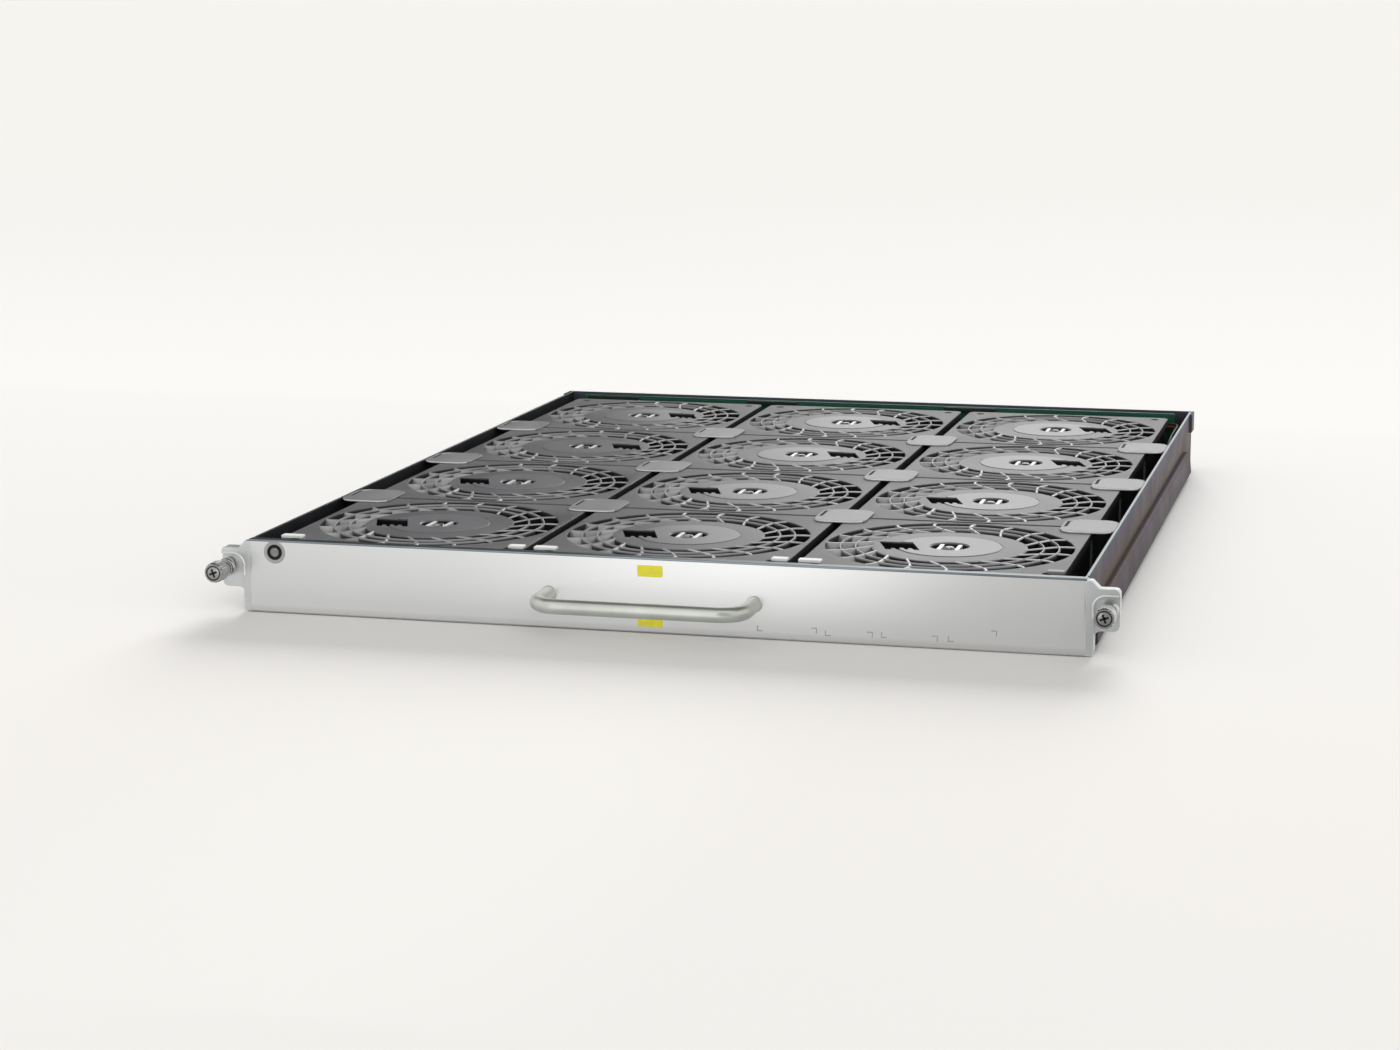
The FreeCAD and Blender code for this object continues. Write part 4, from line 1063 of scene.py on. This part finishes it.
def make_panel():
    piece("front_face", panel_mesh(), "panel_metal", PANEL, "front_panel")
    top = PANEL_HIGH.z
    reach = WALL_OUT - 0.2 * MM
    lip = rounded_box(-reach, reach, FRONT - 0.1 * MM, FRONT + 4.7 * MM, 0.4 * MM, 3)
    piece("front_lip", plate("front_lip", [lip], top - 1 * MM, top + 0.1 * MM, 0.3 * MM),
          "panel_metal", LIP_STEEL)
    front = ear_outline(POCKET_TOP, POCKET_CORNER, 0.3 * MM)
    back = ear_outline(EAR_BOTTOM, LOBE_FILLET, LOBE_CORNER)
    hole = circle(EAR_HOLE, 32, SCREW.x, SCREW.z)
    ear = gathered("ear", [
        plate("ear_front", [front], -EAR_FLOOR, -FRONT - EAR_STEP, 0.4 * MM),
        plate("ear_back", [back, hole], -PANEL_HIGH.y, -EAR_FLOOR, 0.3 * MM),
    ], upright())
    bead = pocket_bead()
    mirror = Matrix.Scale(-1, 4, (1, 0, 0))
    piece("right_ear", ear, "panel_metal", EAR_STEEL)
    # The beads' lighter steel is a painted highlight along their edge.
    piece("right_ear_bead", bead, "panel_metal", EDGE_HIGHLIGHT_STEEL)
    group("left_ear", [ear], "panel_metal", EAR_STEEL, place=mirror)
    group("left_ear_bead", [bead], "panel_metal", EDGE_HIGHLIGHT_STEEL, place=mirror)


def make_panel_marks():
    # Blank stickers, and fine corner marks where labels go.
    top = PANEL_HIGH.z
    width, height = STICKER_SIZE
    stickers = []
    for drop in STICKER_DROPS:
        outline = centred_box(STICKER_X, top - drop, width / 2, height / 2, 0.9 * MM)
        stickers.append(plate("sticker", [outline], 0, 0.15 * MM))
    group("blank_stickers", stickers, "panel_metal", YELLOW, place=upright(y=FRONT))
    marks = []
    for places, turn in ((LOW_MARKS, 1), (HIGH_MARKS, -1)):
        reach = MARK_LENGTH * turn
        line = MARK_LINE * turn
        for across, drop in places:
            x = across * MM
            z = top - drop * MM
            outline = [(x, z), (x + reach, z), (x + reach, z + line), (x + line, z + line),
                       (x + line, z + reach), (x, z + reach)]
            marks.append(plate("mark", [outline], 0, 0.05 * MM))
    group("label_corner_marks", marks, "panel_metal", MARK_GREY, place=upright(y=FRONT))


def make_handle():
    # Bent bar with round shoulders that meets the panel in thin welds.
    low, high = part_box("handle")
    radius = (high.z - low.z) / 2 * 0.98
    z = (low.z + high.z) / 2
    left = low.x + radius
    right = high.x - radius
    root = FRONT + 0.5 * MM
    bend = HANDLE_BEND
    turn_y = low.y + radius + bend
    line = [(left, root)] + arc(left + bend, turn_y, bend, 180, 270, 12)
    line += arc(right - bend, turn_y, bend, 270, 360, 12) + [(right, root)]
    parts = [tube("bar", [(x, y, z) for x, y in line], radius, 8)]
    weld = lathe("weld", [(radius - 0.5 * MM, 0), (radius + 0.35 * MM, 0), (radius + 0.2 * MM, 0.25 * MM),
                          (radius - 0.1 * MM, 0.6 * MM), (radius - 0.5 * MM, 0.6 * MM)], 40, closed=True)
    parts += [moved(weld, upright(x, FRONT, z)) for x in (left, right)]
    bar = group("bar_handle", parts, "handle_nickel", NICKEL, "handle")
    bar.visible_glossy = False


def make_light():
    # Status light: black bezel with a domed lens, and a shallow ring pressed round it.
    low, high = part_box("led_bezel")
    place = upright((low.x + high.x) / 2, FRONT, (low.z + high.z) / 2)
    radius = (high.x - low.x) / 2
    proud = FRONT - low.y
    bezel = lathe("bezel", [
        (LENS_RADIUS, -LIGHT_DEPTH), (radius - 0.5 * MM, -LIGHT_DEPTH), (radius, 0.1 * MM),
        (radius - 0.1 * MM, proud * 0.6), (radius - 0.6 * MM, proud), (2.6 * MM, proud),
        (LENS_RADIUS, proud * 0.5),
    ], 48, closed=True)
    piece("light_bezel", bezel, "black_plastic", BLACK, "led_bezel", place=place)
    dome = lathe("lens", [
        (0, -LIGHT_DEPTH), (LENS_RADIUS, -LIGHT_DEPTH), (LENS_RADIUS, 0.1 * MM), (1.9 * MM, 0.35 * MM),
        (1.2 * MM, 0.5 * MM), (1 * MM, 0.42 * MM), (0.5 * MM, 0.5 * MM), (0, 0.55 * MM),
    ], 40)
    piece("light_lens", dome, "lens_plastic", LENS, "led_lens", place=place)
    rim = radius + SURROUND_WIDTH
    surround = lathe("surround", [
        (radius, 0), (rim, 0), (rim - 0.35 * MM, 0.16 * MM), (rim - 0.8 * MM, 0.06 * MM), (radius, 0.06 * MM),
    ], 56, closed=True)
    piece("light_surround", surround, "panel_metal", PANEL, place=place)


# Thumbscrews, with Z along the screw to the front, from the panel's front

def cross_arms(z0, z1):
    outline = centred_box(0, 0, *CROSS_HALF, 0.3 * MM, 3)
    arm = plate("arm", [outline], z0, z1)
    return [moved(arm, turned(radians(angle), "Z")) for angle in CROSS_TURNS]


def knob_mesh():
    # Knurled knob with chamfered ends and a cross recess in its raised middle.
    length = KNOB_LENGTH
    radius = KNOB_RADIUS
    profile = [
        (0.0, 0.0), (radius * 0.8, 0.0), (radius * 0.96, 0.6 * MM), (radius, 1.2 * MM),
        (radius, length - 1.4 * MM), (radius * 0.95, length - 0.5 * MM), (radius * 0.86, length),
        (radius * 0.74, length), (radius * 0.70, length - 0.7 * MM), (radius * 0.64, length - 0.7 * MM),
        (radius * 0.60, length - 0.1 * MM), (radius * 0.40, length + 0.25 * MM), (0.0, length + 0.35 * MM),
    ]
    bm = bmesh.new()
    bm.from_mesh(lathe("knob", profile, KNURLS * 4))
    for vertex in bm.verts:
        reach = hypot(vertex.co.x, vertex.co.y)
        if reach > radius * 0.95 and 0.5 * MM < vertex.co.z < length - 0.4 * MM:
            phase = KNURLS * atan2(vertex.co.y, vertex.co.x)
            vertex.co.xy *= 1 - KNURL_DEPTH / radius * (0.5 + 0.5 * cos(phase))
    knob = mesh_of(bm, "knob")
    for arm in cross_arms(length - 1.4 * MM, length + 1 * MM):
        knob = cut(knob, arm)
    return knob


def knob_shadow_mesh():
    # Dark floors of the ring groove and of the cross recess.
    low = KNOB_LENGTH - 0.72 * MM
    high = low + 0.2 * MM
    inner, outer = KNOB_RADIUS * 0.63, KNOB_RADIUS * 0.71
    groove = lathe("groove", [(inner, low), (outer, low), (outer, high), (inner, high)], 48, closed=True)
    return gathered("knob_shadow", [groove] + cross_arms(KNOB_LENGTH - 1.45 * MM, KNOB_LENGTH - 0.9 * MM))


def shank_mesh(knob_back):
    # Shank behind the knob, and a thread with real pitch at its end.
    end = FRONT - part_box("right_thumbscrew")[1].y
    first = end + 0.6 * MM
    profile = [(0, end), (1.5 * MM, end), (1.9 * MM, end + 0.5 * MM)]
    for i in range(int((THREAD_START - first) / THREAD_PITCH)):
        z = first + THREAD_PITCH * i
        profile.append((THREAD_ROOT, z))
        profile += [(THREAD_CREST, z + THREAD_PITCH * share) for share in (0.4, 0.6)]
    profile += [(SHANK_RADIUS, THREAD_START), (SHANK_RADIUS, knob_back), (0, knob_back)]
    return lathe("shank", profile, 32)


def spring_mesh(z0, z1):
    # Conical coil that lies flat inside itself when pressed.
    count = int(SPRING_TURNS * 20)
    points = []
    for i in range(count + 1):
        share = i / count
        z = between((z0 + SPRING_WIRE, z1 - SPRING_WIRE), share)
        points.append(polar(between(SPRING_RADII, share), 2 * pi * SPRING_TURNS * share, z))
    return tube("spring", points, SPRING_WIRE, 2)


def make_thumbscrews():
    knob_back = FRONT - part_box("right_thumbscrew")[0].y - KNOB_LENGTH
    low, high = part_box("right_thumbscrew_ferrule")
    front, back, floor = FRONT - low.y, FRONT - high.y, FRONT - EAR_FLOOR
    collar = lathe("ferrule", [
        (SCREW_BORE, back), (FERRULE_NECK, back), (FERRULE_NECK, floor), (FERRULE_HEAD, floor),
        (FERRULE_HEAD, front - 0.6 * MM), (FERRULE_HEAD - 0.4 * MM, front), (SCREW_BORE, front),
    ], 40, closed=True)
    clip_low, clip_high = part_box("right_thumbscrew_retainer")
    clip_back, clip_front = FRONT - clip_high.y, FRONT - clip_low.y
    rim = (clip_high.x - clip_low.x) / 2
    clip_or_glint_bars = lathe("retainer", [
        (SCREW_BORE, clip_back), (rim - 0.2 * MM, clip_back), (rim, clip_back + 0.3 * MM),
        (rim, clip_front - 0.2 * MM), (rim - 0.2 * MM, clip_front), (SCREW_BORE, clip_front),
    ], 40, closed=True)
    knob = moved(knob_mesh(), move(z=knob_back))
    screw = gathered("thumbscrew", [knob, shank_mesh(knob_back + 1 * MM)])
    shadow = knob_shadow_mesh()
    coil = spring_mesh(front, knob_back)
    for side, sign in (("left", -1), ("right", 1)):
        node = side + "_thumbscrew"
        place = upright(sign * SCREW.x, FRONT, SCREW.z)
        piece(side + "_knob_screw", screw, "bright_steel", KNURL, node, body=side + "_screw", place=place)
        piece(side + "_knob_shadow", shadow, "bright_steel", SHADOW_STEEL, body=side + "_screw",
              place=place @ move(z=knob_back))
        piece(side + "_ferrule", collar, "bright_steel", STEEL, node + "_ferrule", place=place)
        piece(side + "_retainer", clip_or_glint_bars, "bright_steel", STEEL, node + "_retainer",
              body=side + "_screw_carriage", place=place)
        spring = piece(side + "_coil_spring", coil.copy(), "bright_steel", STEEL, node + "_spring",
                       place=place)
        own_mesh(spring)


# Rear

def make_board():
    # Green board with dark strips along its top and the row of lead sockets.
    low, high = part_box("control_board")
    top = PANEL_HIGH.z - BOARD_DROP
    sheet = rounded_box(low.x - BOARD_REACH, high.x + BOARD_REACH, low.z, top, 1 * MM)
    piece("green_board", plate("green_board", [sheet], -high.y, -low.y, 0.1 * MM), "board_green", BOARD,
          "control_board", place=upright())
    length, depth, height = STRIP_SIZE
    strips = []
    for x in STRIP_PLACES:
        block = rounded_box(x - length / 2, x + length / 2, top - height, top - 0.3 * MM, 0.4 * MM, 3)
        strips.append(plate("strip", [block], -low.y, -low.y + depth, 0.2 * MM))
    group("board_strip_sockets", strips, "black_plastic", BOARD_BLACK, place=upright())
    make_lead_sockets()


def make_lead_sockets():
    low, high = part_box("fan_headers")
    middle = centre_of("fan_headers").z
    spacing = (high.x - low.x - HEADER_LENGTH) / (FAN_COUNT - 1)
    wall = HEADER_WALL
    shells = []
    pins = []
    for i in range(FAN_COUNT):
        x0 = low.x + spacing * i
        x1 = x0 + HEADER_LENGTH
        outer = rounded_box(x0, x1, low.z, high.z, 0.4 * MM, 2)
        inner = rounded_box(x0 + wall, x1 - wall, low.z + wall, high.z - wall, 0.3 * MM, 2)
        shells.append(plate("shell", [outer, inner], -high.y, -low.y, 0.2 * MM))
        shells.append(plate("back", [inner], -high.y, -high.y + 2.5 * MM))
        for p in range(HEADER_PINS):
            x = x0 + HEADER_LENGTH * (p + 1) / (HEADER_PINS + 1)
            pin = centred_box(x, middle, PIN_HALF, PIN_HALF, 0.1 * MM, 1)
            pins.append(plate("pin", [pin], -high.y + 1 * MM, -low.y - 0.8 * MM))
    group("lead_sockets", shells, "black_plastic", BLACK, "fan_headers", place=upright())
    group("lead_socket_pins", pins, "bright_steel", COPPER, place=upright())


def make_lead():
    # Two thin wires side by side along the route of the last right-hand fan's lead.
    for name, material, offset, nodes in (("red", LEAD_RED, -LEAD_OFFSET, ("fan_lead",)),
                                          ("black", LEAD_BLACK, LEAD_OFFSET, ())):
        points = [((x + offset * 0.4) * MM, FRONT + y * MM, (z + offset) * MM) for x, y, z in LEAD_ROUTE]
        wire = tube("wire", points, WIRE_RADIUS, 4, nurbs=True)
        piece("fan_lead_" + name, wire, "lead_red", material, *nodes)


def make_rear():
    # Guide pins and plug at the back, and the small parts that keep their CAD shapes.
    low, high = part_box("guide_pins")
    radius = (high.z - low.z) / 2
    pin = lathe("guide_pin", [(0, 0), (radius, 0), (radius, 7 * MM), (radius * 0.6, 11.5 * MM),
                              (radius * 0.35, 12.8 * MM), (0, 13 * MM)], 32)
    backwards = turned(radians(-90), "X")
    places = (low.x + radius, high.x - radius)
    pins = [moved(pin, move(x, low.y, (low.z + high.z) / 2) @ backwards) for x in places]
    group("rear_guide_pins", pins, "bright_steel", STEEL, "guide_pins")
    paint("backplane_connector", BLACK)
    low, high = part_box("backplane_connector")
    contacts = []
    for row in range(PLUG_ROWS):
        z = low.z + (high.z - low.z) * (row + 1) / (PLUG_ROWS + 1)
        for column in range(PLUG_COLUMNS):
            x = low.x + PLUG_MARGIN + (high.x - low.x - 2 * PLUG_MARGIN) * column / (PLUG_COLUMNS - 1)
            blade = centred_box(x, z, 0.5 * MM, 1.2 * MM, 0.2 * MM, 1)
            contacts.append(plate("contact", [blade], -high.y + 2 * MM, -high.y + 14.5 * MM))
    group("plug_contacts", contacts, "bright_steel", COPPER, place=upright())
    for node in ("board_standoffs", "handle_screws", "rail_rivets"):
        paint(node, STEEL)
    paint("board_components", BLACK)


# Stage

def make_stage():
    # Endless pale floor: the far part is a little lighter, like a backdrop that starts behind the tray.
    bpy.ops.mesh.primitive_plane_add(size=200)
    floor = bpy.context.object
    floor.name = "floor"
    material, tree, shader = new_material("floor_paper", specular=0.1)
    depth = scaled(tree, axis_of(tree, place_node(tree), "Y"), *FLOOR_SPAN)
    join(tree, ramp(tree, depth, FLOOR_TONES), shader.inputs["Base Color"])
    fill(shader, Roughness=0.9)
    floor.data.materials.append(material)


def aimed(direction):
    return Vector(direction).to_track_quat("-Z", "Y").to_euler()


def reflector(name, place, aim, size, level):
    # Card that only reflections see, dark or bright.
    x, y = size[0] / 2, size[1] / 2
    mesh = bpy.data.meshes.new(name)
    mesh.from_pydata([(-x, -y, 0), (x, -y, 0), (x, y, 0), (-x, y, 0)], [], [(0, 1, 2, 3)])
    material, tree, shader = new_material(name)
    fill(shader, Base_Color=(0.02, 0.02, 0.02, 1), Emission_Color=(1, 1, 1, 1), Emission_Strength=level)
    mesh.materials.append(material)
    card = linked(name, mesh)
    card.location = place
    card.rotation_euler = aimed(Vector(aim) - Vector(place))
    card.visible_camera = card.visible_diffuse = card.visible_shadow = False
    return tree, shader


def graded_card(name, place, aim, size, glow, half_span):
    # Card before the panel that only reflections see: bright before its middle, dim at its right.
    tree, shader = reflector(name, place, aim, size, CARD_POWER)
    position = add_node(tree, "NewGeometry").outputs["Position"]
    across = scaled(tree, axis_of(tree, position, "X"), -half_span, half_span)
    near, far = (FRONT - reach for reach in NEAR_REACH)
    away = scaled(tree, axis_of(tree, position, "Y"), near, far)
    mix = colour_mix(tree, grey_ramp(tree, across, NEAR_GLOW), grey_ramp(tree, across, glow))
    join(tree, away, mix.inputs[MIX_SHARE])
    join(tree, mix.outputs[MIX_RESULT], shader.inputs["Emission Color"])


def make_light_setup():
    # World with a brighter level for what the camera, gloss and glass see, two soft lamps, and the cards.
    world = bpy.data.worlds.new("studio")
    bpy.context.scene.world = world
    world.use_nodes = True
    tree = world.node_tree
    path = add_node(tree, "LightPath")
    seen = path.outputs["Is Camera Ray"]
    for ray in ("Is Glossy Ray", "Is Transmission Ray"):
        either = add_node(tree, "Math")
        either.operation = "MAXIMUM"
        join(tree, seen, either.inputs[0])
        join(tree, path.outputs[ray], either.inputs[1])
        seen = either.outputs["Value"]
    background = fill(tree.nodes["Background"], Color=WORLD_COLOUR)
    join(tree, scaled(tree, seen, 0.0, 1.0, WORLD_LIGHT, WORLD_SEEN), background.inputs["Strength"])
    for name, aim, power, softness in LAMPS:
        light = bpy.data.lights.new(name, "SUN")
        light.energy = power
        light.angle = radians(softness)
        lamp = linked(name, light)
        lamp.rotation_euler = aimed(aim)
        lamp.visible_glossy = False
    for card in CARDS:
        reflector(*card)
    for card in GRADED_CARDS:
        graded_card(*card)


def make_camera():
    data = bpy.data.cameras.new("photo_camera")
    data.lens = CAMERA_LENS
    data.sensor_width = 36.0
    data.clip_start = 0.01
    data.clip_end = 100.0
    camera = linked("photo_camera", data)
    x, y, z = CAMERA_OFFSET
    camera.matrix_world = (move(x, y + FRONT, z) @ turned(CAMERA_AZIMUTH, "Z")
                           @ turned(pi / 2 - CAMERA_ELEVATION, "X") @ turned(CAMERA_ROLL, "Z"))
    bpy.context.scene.camera = camera


make_fans()
make_base()
make_walls()
make_plates()
make_pads()
make_panel()
make_panel_marks()
make_handle()
make_light()
make_thumbscrews()
make_board()
make_lead()
make_rear()
make_stage()
make_light_setup()
make_camera()
bpy.context.scene.view_settings.view_transform = "Standard"
